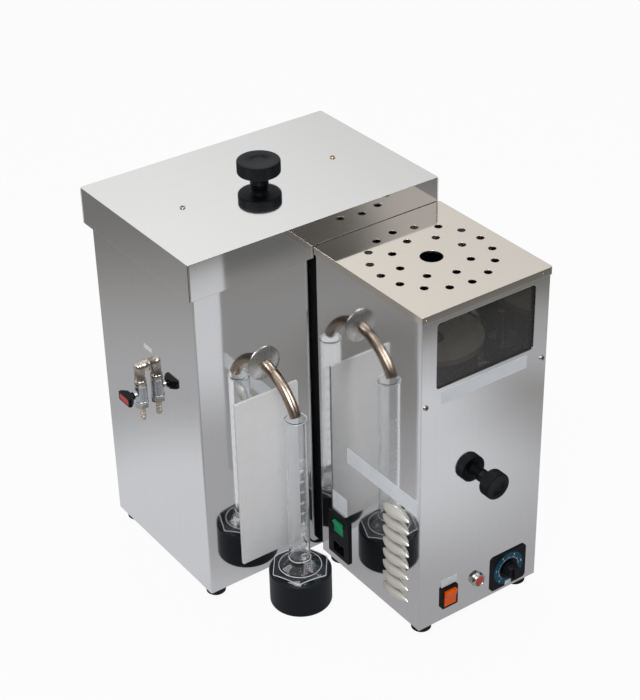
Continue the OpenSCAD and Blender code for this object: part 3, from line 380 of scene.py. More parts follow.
def clearMaterial(name):
    # drawn glass tube, bending light; below it a pressed foot that shows the dark block straight
    # through, mirroring by faceShare plus edgeShare times a power of its facing
    mat, tree, shader = startMaterial(name)
    link = tree.links.new
    grain, place = placeGroup(tree, mouldGrain, Scale=clearSet["scale"], Depth=clearSet["depth"])
    setInputs(shader, Base_Color=clearSet["colour"], Roughness=0.0, IOR=clearSet["ior"],
              Transmission_Weight=1.0)
    pane = addNode(tree, "ShaderNodeBsdfTransparent", Color=clearSet["colour"])
    sheen = addNode(tree, "ShaderNodeBsdfGlossy", Roughness=clearSet["sheen"])
    facing = addNode(tree, "ShaderNodeLayerWeight", Blend=0.5)
    for node in (shader, sheen, facing):
        link(grain.outputs["Normal"], node.inputs["Normal"])
    share = mathNode(tree, "POWER", facing.outputs["Facing"], clearSet["edgePower"])
    share = mathNode(tree, "ADD", timesNode(tree, share, clearSet["edgeShare"]), clearSet["faceShare"])
    foot = mixShaders(tree, share, pane, sheen)
    top = (boxOf("receiver_cylinder")[0][2] + clearSet["foot"]) / 1000.0
    rise = spanNode(tree, splitNode(tree, place)["Z"], (top - clearSet["change"], top + clearSet["change"]))
    whole = mixShaders(tree, rise, foot, shader)
    link(whole.outputs[0], tree.nodes["Material Output"].inputs["Surface"])
    return mat


smokeSet = {"dark": (0.75, 0.73, 0.69), "light": (0.85, 0.83, 0.79), "scale": 14.0, "depth": 0.00005,
            "face": (0.012, 0.012, 0.012, 1), "rough": 0.04, "ior": 1.8, "share": 0.32}


def smokeMaterial(name):
    # tinted pane: light passes straight through it, darkened, and its face mirrors by Fresnel
    mat, tree, shader = startMaterial(name)
    link = tree.links.new
    grain = placeGroup(tree, mouldGrain, Scale=smokeSet["scale"], Depth=smokeSet["depth"])[0].outputs
    pane = tree.nodes.new("ShaderNodeBsdfTransparent")
    tint = list(zip(noiseSpan, (smokeSet["dark"], smokeSet["light"])))
    link(rampNode(tree, grain["Tone"], tint), pane.inputs["Color"])
    setInputs(shader, Base_Color=smokeSet["face"], Roughness=smokeSet["rough"], IOR=smokeSet["ior"],
              Specular_IOR_Level=1.0)
    link(grain["Normal"], shader.inputs["Normal"])
    whole = mixShaders(tree, smokeSet["share"], pane, shader)
    link(whole.outputs[0], tree.nodes["Material Output"].inputs["Surface"])
    return mat


upright = (700.0, 700.0, 5.0)   # streaks run up the walls
across = (5.0, 700.0, 700.0)    # streaks run along the lid
fine, even, coarse = (500.0,) * 3, (300.0,) * 3, (200.0,) * 3
wallTone = ((0.765, 0.765, 0.765), (0.79, 0.79, 0.79))
wallRelief, topRelief, platedRelief = (0.0005, 0.000003), (0.0004, 0.000003), (0.0002, 0.000006)
# Louvres: from just out of the wall's plane they turn rougher and less metallic, a matt finish, and to this
# darker tone, which is painted shade
louvreMattAndShade = {"reach": (drawShift[0] / 1000.0 - 0.0002, drawShift[0] / 1000.0 - 0.0016),
              "colour": (0.56, 0.54, 0.50), "rough": 0.45, "dull": 0.75}

# Metals: dark and light tone, roughness, stretch of the streaks, depth of waves and of streaks in metres
steelSet = {
    "wallSteel": (*wallTone, 0.05, upright, *wallRelief),
    "shellSteel": (*wallTone, 0.05, upright, *wallRelief, louvreMattAndShade),
    "panelSteel": (*wallTone, 0.06, upright, *wallRelief),
    "lidSteel": ((0.79, 0.79, 0.785), (0.815, 0.815, 0.81), 0.07, across, *topRelief),
    # coverSteel: its warm tint is a painted reflection of warm surroundings
    "coverSteel": ((0.765, 0.705, 0.635), (0.785, 0.725, 0.655), 0.07, across, *topRelief),
    "innerSteel": ((0.48, 0.48, 0.48), (0.62, 0.62, 0.61), 0.28, across, 0.0004, 0.00001),
    "tubeSteel": ((0.42, 0.33, 0.265), (0.56, 0.45, 0.37), 0.22, fine, 0.0002, 0.00001),
    "rosetteSteel": ((0.68, 0.67, 0.65), (0.78, 0.77, 0.75), 0.32, even, *platedRelief),
    "nickel": ((0.56, 0.55, 0.52), (0.70, 0.69, 0.66), 0.14, even, *platedRelief),
    "warmNickel": ((0.60, 0.53, 0.47), (0.74, 0.67, 0.60), 0.24, even, *platedRelief),
    "satinChrome": ((0.62, 0.65, 0.69), (0.76, 0.79, 0.83), 0.30, even, *platedRelief),
    "brassMetal": ((0.42, 0.31, 0.20), (0.54, 0.42, 0.29), 0.3, even, 0.0002, 0.00001),
    "hotSteel": ((0.16, 0.12, 0.10), (0.30, 0.24, 0.20), 0.45, coarse, 0.0002, 0.00002),
}
# Others: dark and light tone, roughness, scale and depth of the grain, coat, strength of the gloss
plasticSet = {
    "blackPlastic": ((0.002, 0.002, 0.003), (0.005, 0.005, 0.007), 0.4, 2500.0, 0.00003, 0.0, 0.15),
    "knobPlastic": ((0.003, 0.004, 0.006), (0.007, 0.009, 0.012), 0.45, 2200.0, 0.00004, 0.0, 0.17),
    "blackRubber": ((0.006, 0.006, 0.006), (0.016, 0.016, 0.016), 0.7, 1500.0, 0.00006, 0.0, 0.25),
    "blockPlastic": ((0.004, 0.0055, 0.009), (0.008, 0.0105, 0.016), 0.42, 900.0, 0.00003, 0.0, 0.22),
    # painted shade: near-black and matt on the tower's spacer, where the gap between tower and bath lies in
    # shade
    "gapShadeBlack": ((0.003, 0.003, 0.003), (0.007, 0.007, 0.007), 0.8, 900.0, 0.00004, 0.0, 0.1),
    "whitePlate": ((0.80, 0.80, 0.81), (0.85, 0.85, 0.86), 0.4, 400.0, 0.00001),
    "labelFilm": ((0.66, 0.69, 0.73), (0.74, 0.77, 0.81), 0.4, 1200.0, 0.00001),
    # pale coated plastic for the receiver's painted highlights
    "paintedGlint": ((0.66, 0.70, 0.73), (0.80, 0.84, 0.87), 0.12, 500.0, 0.00001, 0.5),
    "markWhite": ((0.78, 0.78, 0.78), (0.86, 0.86, 0.86), 0.5, 1500.0, 0.00001),
    "dialBlue": ((0.003, 0.055, 0.10), (0.007, 0.085, 0.15), 0.45, 700.0, 0.00001, 0.0, 0.15),
    # painted shade of the screw slots, and the dark joints of the lid's seams
    "slotShadeSeamDark": ((0.01, 0.01, 0.01), (0.03, 0.03, 0.03), 0.6, 1500.0, 0.00002),
    "linerBoard": ((0.70, 0.68, 0.60), (0.80, 0.78, 0.70), 0.7, 700.0, 0.00006),
    "mineralWool": ((0.42, 0.36, 0.20), (0.60, 0.54, 0.34), 0.95, 300.0, 0.0006),
    "ceramicBoard": ((0.70, 0.68, 0.63), (0.84, 0.82, 0.77), 0.8, 700.0, 0.0001),
    "redPlastic": ((0.42, 0.012, 0.012), (0.60, 0.03, 0.025), 0.3, 900.0, 0.00002),
    "orangePlastic": ((0.80, 0.085, 0.002), (0.92, 0.14, 0.005), 0.3, 900.0, 0.00001, 0.0, 0.25),
    "greenPlastic": ((0.0, 0.25, 0.10), (0.004, 0.37, 0.16), 0.3, 900.0, 0.00001, 0.0, 0.25),
    "redLens": ((0.42, 0.03, 0.015), (0.58, 0.06, 0.03), 0.2, 300.0, 0.00003, 0.3),
}
mats = {name: steelMaterial(name, *row) for name, row in steelSet.items()}
mats.update({name: plasticMaterial(name, *row) for name, row in plasticSet.items()})
mats["clearGlass"] = clearMaterial("clearGlass")
mats["smokeGlass"] = smokeMaterial("smokeGlass")
finishes = {
    "wallSteel": ["bath_casing"],
    "rosetteSteel": ["tube_rosette", "panel_screws"],
    "shellSteel": ["tower_shell"],
    "panelSteel": ["front_panel"],
    "lidSteel": ["bath_lid"],
    "coverSteel": ["tower_cover"],
    "innerSteel": ["bath_tank", "lid_stud", "tower_base", "window_frame", "chamber_floor", "guide_rods",
                   "heater_carriage", "lift_rack", "heater_dish", "lift_shaft", "shaft_bracket",
                   "shaft_bush", "regulator_spindle", "cover_screws"],
    "tubeSteel": ["condenser_tube"],
    "nickel": ["valve_ball", "lamp_bezel"],
    "warmNickel": ["valve_elbow", "hose_barb"],
    "satinChrome": ["valve_body"],
    "brassMetal": ["lid_screws", "lift_pinion", "inlet_pins"],
    "hotSteel": ["heater_element"],
    "blackPlastic": ["valve_lever", "regulator_plate", "regulator_body", "rocker_frame", "inlet_housing",
                     "fuse_drawer"],
    "knobPlastic": ["lid_knob", "lift_knob", "regulator_knob"],
    "blackRubber": ["bath_feet", "tower_feet"],
    "blockPlastic": ["rest_block"],
    "gapShadeBlack": ["tower_spacer"],
    "whitePlate": ["reading_plate"],
    "linerBoard": ["lid_liner"],
    "mineralWool": ["bath_insulation"],
    "ceramicBoard": ["flask_board"],
    "redPlastic": ["lever_insert"],
    "orangePlastic": ["power_rocker"],
    "greenPlastic": ["mains_rocker"],
    "redLens": ["lamp_lens"],
    "clearGlass": ["receiver_cylinder"],
    "smokeGlass": ["window_glass"],
}
for finish, members in finishes.items():
    for member in members:
        nodes[member].data.materials.clear()
        nodes[member].data.materials.append(mats[finish])
bare = set(nodes) - {m for members in finishes.values() for m in members}
print("finishes set, nodes left bare:", sorted(bare))

lidKnobSize = {"d": 60.0, "h": 34.0, "neck": 23.0, "head": 19.0, "edge": 2.2, "flare": 5.0, "dish": 9.0,
               "ribs": 72, "depth": 0.7}
liftKnobSize = {"d": 39.0, "h": 32.5, "neck": 16.0, "head": 17.0, "edge": 1.8, "flare": 4.0, "dish": 6.5,
                "ribs": 56, "depth": 0.6}
# What both knobs share: collar at the foot, rim's plain ends, dished face, run-out of the ribs, and the
# shares of the radius over which they begin
knobSet = {"collarOut": 1.2, "collarTall": 1.4, "collarTop": 2.2, "plain": 0.4, "dishRound": 0.8,
           "dishIn": 0.6, "dishLevel": 1.0, "dishMiddle": 1.1, "ribEnd": 0.6, "ribRun": 0.8, "ribPoints": 6,
           "rimFrom": 0.9, "rimRun": 0.05}


def ribbedKnob(size):
    # neck, flare, ribbed rim and dished face as one profile; each rib lowers the rim by
    # depth times half of one minus the cosine of its turn
    big, neck, tall = size["d"] / 2, size["neck"] / 2, size["h"]
    edge, flare, dish = size["edge"], size["flare"], size["dish"]
    under, collar = tall - size["head"], neck + knobSet["collarOut"]
    rimLow, rimHigh = under + edge + knobSet["plain"], tall - edge - knobSet["plain"]
    soft = np.linspace(0, quarterTurn, softSteps)
    profile = np.concatenate([
        np.array([[0.0, 0.0], [collar, 0.0], [collar, knobSet["collarTall"]], [neck, knobSet["collarTop"]]]),
        np.c_[neck + flare * (1 - np.cos(soft)), under - flare + flare * np.sin(soft)],
        np.c_[big - edge + edge * np.sin(soft), under + edge * (1 - np.cos(soft))],
        np.c_[np.full(softSteps, big), np.linspace(rimLow, rimHigh, softSteps)],
        np.c_[big - edge + edge * np.cos(soft), tall - edge + edge * np.sin(soft)],
        np.c_[dish + knobSet["dishRound"] * np.cos(soft), tall - knobSet["dishRound"] * np.sin(soft)],
        np.array([[dish * knobSet["dishIn"], tall - knobSet["dishLevel"]],
                  [0.0, tall - knobSet["dishMiddle"]]])])

    def ripple(radius, height, angle):
        end, run = knobSet["ribEnd"], knobSet["ribRun"]
        inside = np.clip((height - under - end) / run, 0, 1) * np.clip((tall - end - height) / run, 0, 1)
        rim = np.clip((radius - big * knobSet["rimFrom"]) / (big * knobSet["rimRun"]), 0, 1)
        return radius - size["depth"] * inside * rim * 0.5 * (1 - np.cos(size["ribs"] * angle))

    return turned(profile, size["ribs"] * knobSet["ribPoints"], ripple)


def makeKnobs():
    low, _, middle = fromRow("lid_knob")
    verts, faces = ribbedKnob(lidKnobSize)
    piece = addPiece("lidGrip", toRow(verts + [middle[0], middle[1], low[2]]), faces,
                     mats["knobPlastic"], "lid", "black_plastic")
    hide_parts("lid_knob")
    _, high, middle = fromRow("lift_knob")
    verts, faces = ribbedKnob(liftKnobSize)
    piece = addPiece("liftGrip", onFront(verts, middle[0], middle[2], high[1]), faces,
                     mats["knobPlastic"], "lift_drive", "black_plastic")
    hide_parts("lift_knob")


makeKnobs()
print("ribbed knobs made")

dialLow, _, dialMiddle = fromRow("regulator_plate")
casingLeft = fromRow("bath_casing")[0][0]
valveMiddle = fromRow("valve_body")[2]
plateThick, plateEdge = 0.4, 0.15
# Bare plates: how each is put on its wall and where, width and height, corner radius
plateSet = {
    "hotStrip": {"put": onFront, "at": (103.0, 369.5), "size": (143.0, 20.0), "corner": 1.5},
    "switchTag": {"put": onFront, "at": (51.5, 62.5), "size": (27.0, 13.0), "corner": 1.0},
    "inletTag": {"put": onLeft, "at": (180.0, 109.0), "size": (34.0, 30.0), "corner": 1.5},
    "ventStrip": {"put": onLeft, "at": (83.5, 203.0), "size": (155.0, 25.0), "corner": 1.5},
    "dialTag": {"put": onFront, "at": (dialMiddle[0], dialLow[2] + 4.6, dialLow[1]), "size": (11.0, 7.5),
                "corner": 0.6},
    "drainTag": {"put": onLeft, "at": (valveMiddle[1] - 6.0, 345.0, casingLeft), "size": (20.0, 6.5),
                 "corner": 0.6},
}


def makePlates():
    for name, plate in plateSet.items():
        verts, faces = softPlate(*plate["size"], plate["corner"], plateThick, plateEdge)
        addPiece(name, plate["put"](verts, *plate["at"]), faces, mats["labelFilm"], "frame",
                 "white_plate", False)


makePlates()
print("bare plates made")

# Dial: ring's radii and thickness, sweep of its marks in degrees, where marks begin, how long and how wide
# they are to each side (plain, every fifth), where the numbers stand, and a hair over the ring
dialSet = {"inner": 16.0, "outer": 26.0, "thick": 0.25, "points": 120, "sweep": 270.0, "marks": 51,
           "markStart": 0.8, "markEnd": (2.2, 3.6), "markHalf": (0.2, 0.32), "numbers": 6, "numberSize": 4.6,
           "numberOut": 6.6, "hair": 0.08}


def makeDial():
    place = dialMiddle[0], dialMiddle[2], dialLow[1]
    inner, outer, thick = dialSet["inner"], dialSet["outer"], dialSet["thick"]
    verts, faces = turned([(inner, 0.0), (inner, thick), ((inner + outer) / 2, thick), (outer, thick),
                           (outer, 0.0)], dialSet["points"])
    addPiece("dialRing", onFront(verts, *place), faces, mats["dialBlue"], "frame", "black_plastic", False)
    # marks: radial bars over the sweep, every fifth one longer, each bar a flat quad
    start, level = 90 + dialSet["sweep"] / 2, thick + dialSet["hair"]
    turn = np.radians(start - np.linspace(0, dialSet["sweep"], dialSet["marks"]))
    fifth = (np.arange(dialSet["marks"]) % 5 == 0).astype(int)
    near = np.full((len(turn), 1), inner + dialSet["markStart"])
    far = inner + np.array(dialSet["markEnd"])[fifth][:, None]
    out = np.stack([np.cos(turn), np.sin(turn)], -1)
    side = np.stack([-out[:, 1], out[:, 0]], -1) * np.array(dialSet["markHalf"])[fifth][:, None]
    corners = np.stack([out * near - side, out * far - side, out * far + side, out * near + side], 1)
    marks = np.concatenate([corners, np.full(corners.shape[:2] + (1,), level)], -1).reshape(-1, 3)
    parts = [(marks, np.arange(len(marks)).reshape(-1, 4))]
    for k in range(dialSet["numbers"]):
        verts, faces = wordShape(str(2 * k), dialSet["numberSize"])
        angle = math.radians(start - dialSet["sweep"] * k / (dialSet["numbers"] - 1))
        middle = np.array([math.cos(angle), math.sin(angle), 0.0]) * (inner + dialSet["numberOut"])
        parts.append((verts + middle + [0, 0, level], faces))
    verts, faces = joinParts(parts)
    addPiece("dialMarks", onFront(verts, *place), faces, mats["markWhite"], "frame", "white_plate", False)


makeDial()
print("dial made")

# Receiver's marks: glass radius, level of zero, step of a millilitre, first and last mark, where marks and
# numbers face, half sweep of every tenth, every fifth and plain marks in degrees, points along a mark
gradSet = {"radius": 15.0, "lift": 0.08, "start": 16.0, "step": 1.77, "first": 5, "last": 100,
           "facing": -66.0, "numberFacing": -104.0, "sweeps": (33.0, 25.0, 17.0), "points": 9,
           "lineHeight": 0.42, "numberSize": 6.4}


def makeGraduations():
    # marks round the glass: strips of the cylinder x = r cos a, y = r sin a, one for each millilitre
    low, _, middle = fromRow("receiver_cylinder")
    radius, points = gradSet["radius"] + gradSet["lift"], gradSet["points"]
    zero = low[2] + gradSet["start"]
    mark = np.arange(gradSet["first"], gradSet["last"] + 1)
    tenth, fifth, plain = gradSet["sweeps"]
    wide = np.radians(np.where(mark % 10 == 0, tenth, np.where(mark % 5 == 0, fifth, plain)))
    angle = math.radians(gradSet["facing"]) + np.linspace(-1, 1, points)[None, :] * wide[:, None]
    level = zero + mark * gradSet["step"]
    rows = []
    for side in (-0.5, 0.5):
        height = np.repeat((level + side * gradSet["lineHeight"])[:, None], points, 1)
        rows.append(np.stack([radius * np.cos(angle), radius * np.sin(angle), height], -1))
    quads = gridFaces(2, points)[:, ::-1]
    faces = (quads[None] + 2 * points * np.arange(len(mark))[:, None, None]).reshape(-1, 4)
    parts = [(np.stack(rows, 1).reshape(-1, 3), faces)]
    for number in range(10, gradSet["last"] + 1, 10):
        flat, shapes = wordShape(str(number), gradSet["numberSize"])
        turn = math.radians(gradSet["numberFacing"]) + flat[:, 0] / radius
        height = zero + number * gradSet["step"] + flat[:, 1]
        parts.append((np.stack([radius * np.cos(turn), radius * np.sin(turn), height], -1), shapes))
    verts, faces = joinParts(parts)
    verts[:, :2] += middle[:2]
    addPiece("receiverMarks", toRow(verts), faces, mats["markWhite"], "receiver", "white_plate")


makeGraduations()
print("receiver marks made")

# Painted highlights, pale beads along the receiver's edges: foot across its flats, turn of its first corner
# in degrees, levels over its underside, radii of cone, stem and rim, and of the beads along foot, inner edges
# and rim
glintSet = {"flats": 74.0, "turn": 52.0, "inset": 0.3, "cornerLevel": 3.0, "plate": 6.0, "cone": 30.0,
            "stem": 15.4, "stemLevel": 20.0, "rim": 15.3, "rimDown": 0.7, "beads": (0.55, 0.45, 0.6),
            "points": (144, 8)}


def makeGlints():
    # a bead of radius b carried round a path r(a), z(a):
    # x = (r + b cos t) cos a, y = (r + b cos t) sin a, z + b sin t
    low, high, middle = fromRow("receiver_cylinder")
    along, turn = (around(count) for count in glintSet["points"])
    half, sixth = glintSet["flats"] / 2, math.pi / 6
    corner = half / math.cos(sixth)
    # the foot's outline: half its flats over the cosine of the angle from the nearest flat's middle
    off = (along - math.radians(glintSet["turn"])) % (2 * sixth) - sixth
    hexReach = half / np.cos(off) - glintSet["inset"]
    slope = (glintSet["plate"] - glintSet["cornerLevel"]) / (corner - glintSet["cone"])
    footBead, innerBead, rimBead = glintSet["beads"]
    level = np.ones_like(along)
    paths = [(hexReach, glintSet["cornerLevel"] + slope * (corner - hexReach), footBead),
             (level * glintSet["cone"], level * glintSet["plate"], innerBead),
             (level * glintSet["stem"], level * glintSet["stemLevel"], innerBead),
             (level * glintSet["rim"], level * (high[2] - low[2] - glintSet["rimDown"]), rimBead)]
    parts = []
    for reach, height, bead in paths:
        radius = reach[:, None] + bead * np.cos(turn)
        verts = np.stack([radius * np.cos(along)[:, None], radius * np.sin(along)[:, None],
                          height[:, None] + bead * np.sin(turn)], -1)
        parts.append((verts.reshape(-1, 3), gridFaces(len(along), len(turn), True, True)))
    verts, faces = joinParts(parts)
    # the beads are painted highlights on the glass
    addPiece("receiverGlints", toRow(verts + [middle[0], middle[1], low[2]]), faces, mats["paintedGlint"],
             "receiver", "clear_glass")


makeGlints()
print("receiver glints made")

# Lamp: holder, flange and lens across, how far it stands out, its rounded lip, the lens's seat and crown,
# the flange's height and slope, the lens's bevel, and how deep holder and lens go under the seat
lampShape = {"d": 20.0, "flange": 21.0, "flangeTall": 1.0, "flangeTop": 1.3, "out": 7.2, "lip": 1.3,
             "lens": 15.2, "seat": 0.7, "crown": 1.5, "bevel": 0.3, "holderDeep": 0.5, "lensDeep": 0.4,
             "lensFree": 0.1, "points": 64, "crownSteps": 9}


def makeLampHead():
    # holder: flange, wall and a lip of quarter turns
    # lens: crown times one minus the squared share of its radius
    middle = fromRow("lamp_bezel")[2]
    big, flange, lens = lampShape["d"] / 2, lampShape["flange"] / 2, lampShape["lens"] / 2
    out, lip, bevel = lampShape["out"], lampShape["lip"], lampShape["bevel"]
    soft = np.linspace(0, quarterTurn, softSteps)
    seat = out - lampShape["seat"]
    holderFloor, lensFloor = seat - lampShape["holderDeep"], seat - lampShape["lensDeep"]
    holder = np.concatenate([
        np.array([[0.0, 0.0], [flange, 0.0], [flange, lampShape["flangeTall"]],
                  [big, lampShape["flangeTop"]]]),
        np.c_[big - lip + lip * np.cos(soft), out - lip + lip * np.sin(soft)],
        np.array([[lens + bevel, out], [lens, out - bevel], [lens, holderFloor], [0.0, holderFloor]])])
    verts, faces = turned(holder, lampShape["points"])
    piece = addPiece("lampHolder", onFront(verts, middle[0], middle[2]), faces, mats["nickel"], "frame",
                     "plated")
    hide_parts("lamp_bezel")
    share, reach = np.linspace(1, 0, lampShape["crownSteps"]), lens - lampShape["lensFree"]
    dome = np.concatenate([np.array([[0.0, lensFloor], [reach, lensFloor]]),
                           np.c_[share * reach, seat + lampShape["crown"] * (1 - share ** 2)]])
    verts, faces = turned(dome, lampShape["points"])
    piece = addPiece("lampDome", onFront(verts, middle[0], middle[2]), faces, mats["redLens"], "frame",
                     "red_lens")
    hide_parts("lamp_lens")


makeLampHead()
print("lamp made")

# Drain elbow: arm, ferrule, wall flange, spigot and bore across, depth of the bore that is seen, rounding of
# its inner and outer corner, its axis out from the wall and over the tower's bottom edge, and small bevels
elbowShape = {"arm": 14.6, "ferrule": 17.2, "ferruleTall": 8.0, "flange": 17.8, "flangeThick": 0.9,
              "spigot": 16.0, "bore": 8.0, "boreDeep": 6.0, "inner": 0.8, "outer": 4.6, "out": 13.0,
              "level": 316.0, "flangeBevel": 0.3, "ferruleBevel": 0.5, "ferruleRun": 0.6, "shoulder": 0.8,
              "points": 48, "bendSteps": 12}


def makeElbow():
    # every line of the tube runs straight along both arms and turns on an arc of its own: centre plus
    # q (-sin s, cos s), with q growing from the inner to the outer rounding across the tube
    low, high, middle = fromRow("valve_elbow")
    wall, points = casingLeft, elbowShape["points"]
    axisX, axisY, level = wall - elbowShape["out"], middle[1], elbowShape["level"]
    arm, spigot, bore, flange, ferrule = (
        elbowShape[k] / 2 for k in ("arm", "spigot", "bore", "flange", "ferrule"))
    angle = around(points)[:, None]
    # along the wall arm: (x, radius), from inside the tank outwards
    deep, lip = high[0] - elbowShape["boreDeep"], wall - elbowShape["flangeThick"]
    bevel = elbowShape["flangeBevel"]
    along = np.array([(deep, 0.0), (deep, bore), (high[0], bore), (high[0], spigot), (wall, spigot),
                      (wall, flange), (lip + bevel, flange), (lip, flange - bevel), (lip, arm)])
    first = np.stack([np.repeat(along[None, :, 0], points, 0), axisY + along[None, :, 1] * np.sin(angle),
                      level + along[None, :, 1] * np.cos(angle)], -1)
    turn = np.linspace(0, quarterTurn, elbowShape["bendSteps"])[None, :]
    offset = arm * np.cos(angle)
    share = (offset + arm) / (2 * arm)
    arc = elbowShape["inner"] + (elbowShape["outer"] - elbowShape["inner"]) * share
    bend = np.stack([axisX - offset + arc * (1 - np.sin(turn)),
                     np.repeat(axisY + arm * np.sin(angle), turn.shape[1], 1),
                     level + offset - arc * (1 - np.cos(turn))], -1)
    # down the valve arm: (z, radius), to the body's top
    foot, step, bevel = low[2], low[2] + elbowShape["ferruleTall"], elbowShape["ferruleBevel"]
    down = np.array([(step + elbowShape["shoulder"], arm), (step, ferrule - bevel),
                     (step - elbowShape["ferruleRun"], ferrule), (foot + bevel, ferrule),
                     (foot, ferrule - bevel), (foot, 0.0)])
    last = np.stack([axisX - down[None, :, 1] * np.cos(angle), axisY + down[None, :, 1] * np.sin(angle),
                     np.repeat(down[None, :, 0], points, 0)], -1)
    verts = np.concatenate([first, bend, last], 1)
    piece = addPiece("drainElbow", toRow(verts.reshape(-1, 3)), gridFaces(points, verts.shape[1], True),
                     mats["warmNickel"], "frame", "plated")
    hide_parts("valve_elbow")


makeElbow()
print("drain elbow made")

# Screw slots: dark crosses of painted shade, standing in for the shaded cross recesses; length and width as
# shares of the screw's head, thickness in millimetres
slotSet = {"long": 0.62, "wide": 0.16, "thick": 0.12}


def crossMesh(reach):
    # a plus sign of twelve corners, raised by a hair over the screw's head
    a, b = reach * slotSet["long"] / 2, reach * slotSet["wide"] / 2
    flat = np.array([[b, b], [b, a], [-b, a], [-b, b], [-a, b], [-a, -b], [-b, -b], [-b, -a],
                     [b, -a], [b, -b], [a, -b], [a, b]])
    count = len(flat)
    verts = np.concatenate([np.c_[flat, np.zeros(count)], np.c_[flat, np.full(count, slotSet["thick"])]])
    return verts, list(gridFaces(2, count, False, True)[:, ::-1]) + [np.arange(count, 2 * count)]


def makeScrewSlots():
    low, high, middle = fromRow("panel_screws")
    size = high[2] - low[2]
    verts, faces = crossMesh(size)
    parts = [(onFront(verts, x, middle[2], low[1]), faces) for x in (low[0] + size / 2, high[0] - size / 2)]
    addPiece("panelSlots", *joinParts(parts), mats["slotShadeSeamDark"], "frame", "black_plastic", False)
    low, high, middle = fromRow("lid_screws")
    size = high[1] - low[1]
    verts, faces = crossMesh(size)
    parts = [(toRow(verts + [x, middle[1], high[2]]), faces) for x in (low[0] + size / 2, high[0] - size / 2)]
    addPiece("lidSlots", *joinParts(parts), mats["slotShadeSeamDark"], "lid", "black_plastic", False)


makeScrewSlots()
print("screw slots made")

# Lid seams: width and thickness, distance from the corner and from the lid's top, corner radius and edge
seamSet = {"wide": 0.7, "thick": 0.1, "inset": 0.15, "under": 1.5, "corner": 0.3, "edge": 0.04}


def makeLidSeams():
    # a dark joint of the folded skirt at each of the lid's corners, on its left and right faces
    low, high, middle = fromRow("bath_lid")
    wide, under, reach = seamSet["wide"], seamSet["under"], seamSet["inset"] + seamSet["wide"] / 2
    verts, faces = softPlate(wide, high[2] - low[2] - under, seamSet["corner"], seamSet["thick"],
                             seamSet["edge"])
    parts = []
    for x, out in ((low[0], -1.0), (high[0], 1.0)):
        stood = np.stack([out * verts[:, 2], out * verts[:, 0], verts[:, 1]], -1)
        parts += [(toRow(stood + [x, y, middle[2] - under / 2]), faces)
                  for y in (low[1] + reach, high[1] - reach)]
    addPiece("lidSeams", *joinParts(parts), mats["slotShadeSeamDark"], "lid", "black_plastic", False)


makeLidSeams()
print("lid seams made")

# Floor: to mirror rays it glows with painted light, brightest near the object and dimmer far off and towards
# the front, with pools of painted light (add above zero) and painted shade (add below zero) by place in
# metres, each full inside its near radius and gone at its far one
floorSet = {"half": 4.5, "far": 0.13, "middle": 0.42, "edge": (0.65, 1.35),
            "paintedPools": [{"at": (0.227, -0.614), "reach": (0.10, 0.34), "add": 0.30},
                      {"at": (-0.233, 0.196), "reach": (0.12, 0.34), "add": 0.32},
                      {"at": (-0.343, -0.564), "reach": (0.15, 0.42), "add": -0.09},
                      {"at": (-0.393, -0.324), "reach": (0.08, 0.26), "add": -0.12},
                      {"at": (0.525, -0.555), "reach": (0.04, 0.19), "add": -0.10},
                      {"at": (0.442, -0.748), "reach": (0.04, 0.18), "add": 0.14},
                      {"at": (0.670, -0.715), "reach": (0.06, 0.19), "add": 0.12}],
            "frontEdge": (-0.86, -0.765), "frontSlant": 0.08, "frontTone": 0.34,
            "tones": [(0.0, (0.0, 0.0, 0.0)), (0.30, (0.305, 0.298, 0.292)),
                      (0.45, (0.444, 0.445, 0.465)), (1.0, (0.955, 0.96, 1.0))],
            "matt": (0.6, 0.6, 0.6, 1), "show": 0.94, "mirror": 0.85}


def seenNode(tree):
    # one where the camera looks straight or through glass, and the light path's outputs
    path = tree.nodes.new("ShaderNodeLightPath").outputs
    return mathNode(tree, "MAXIMUM", path["Is Camera Ray"], path["Is Transmission Ray"]), path


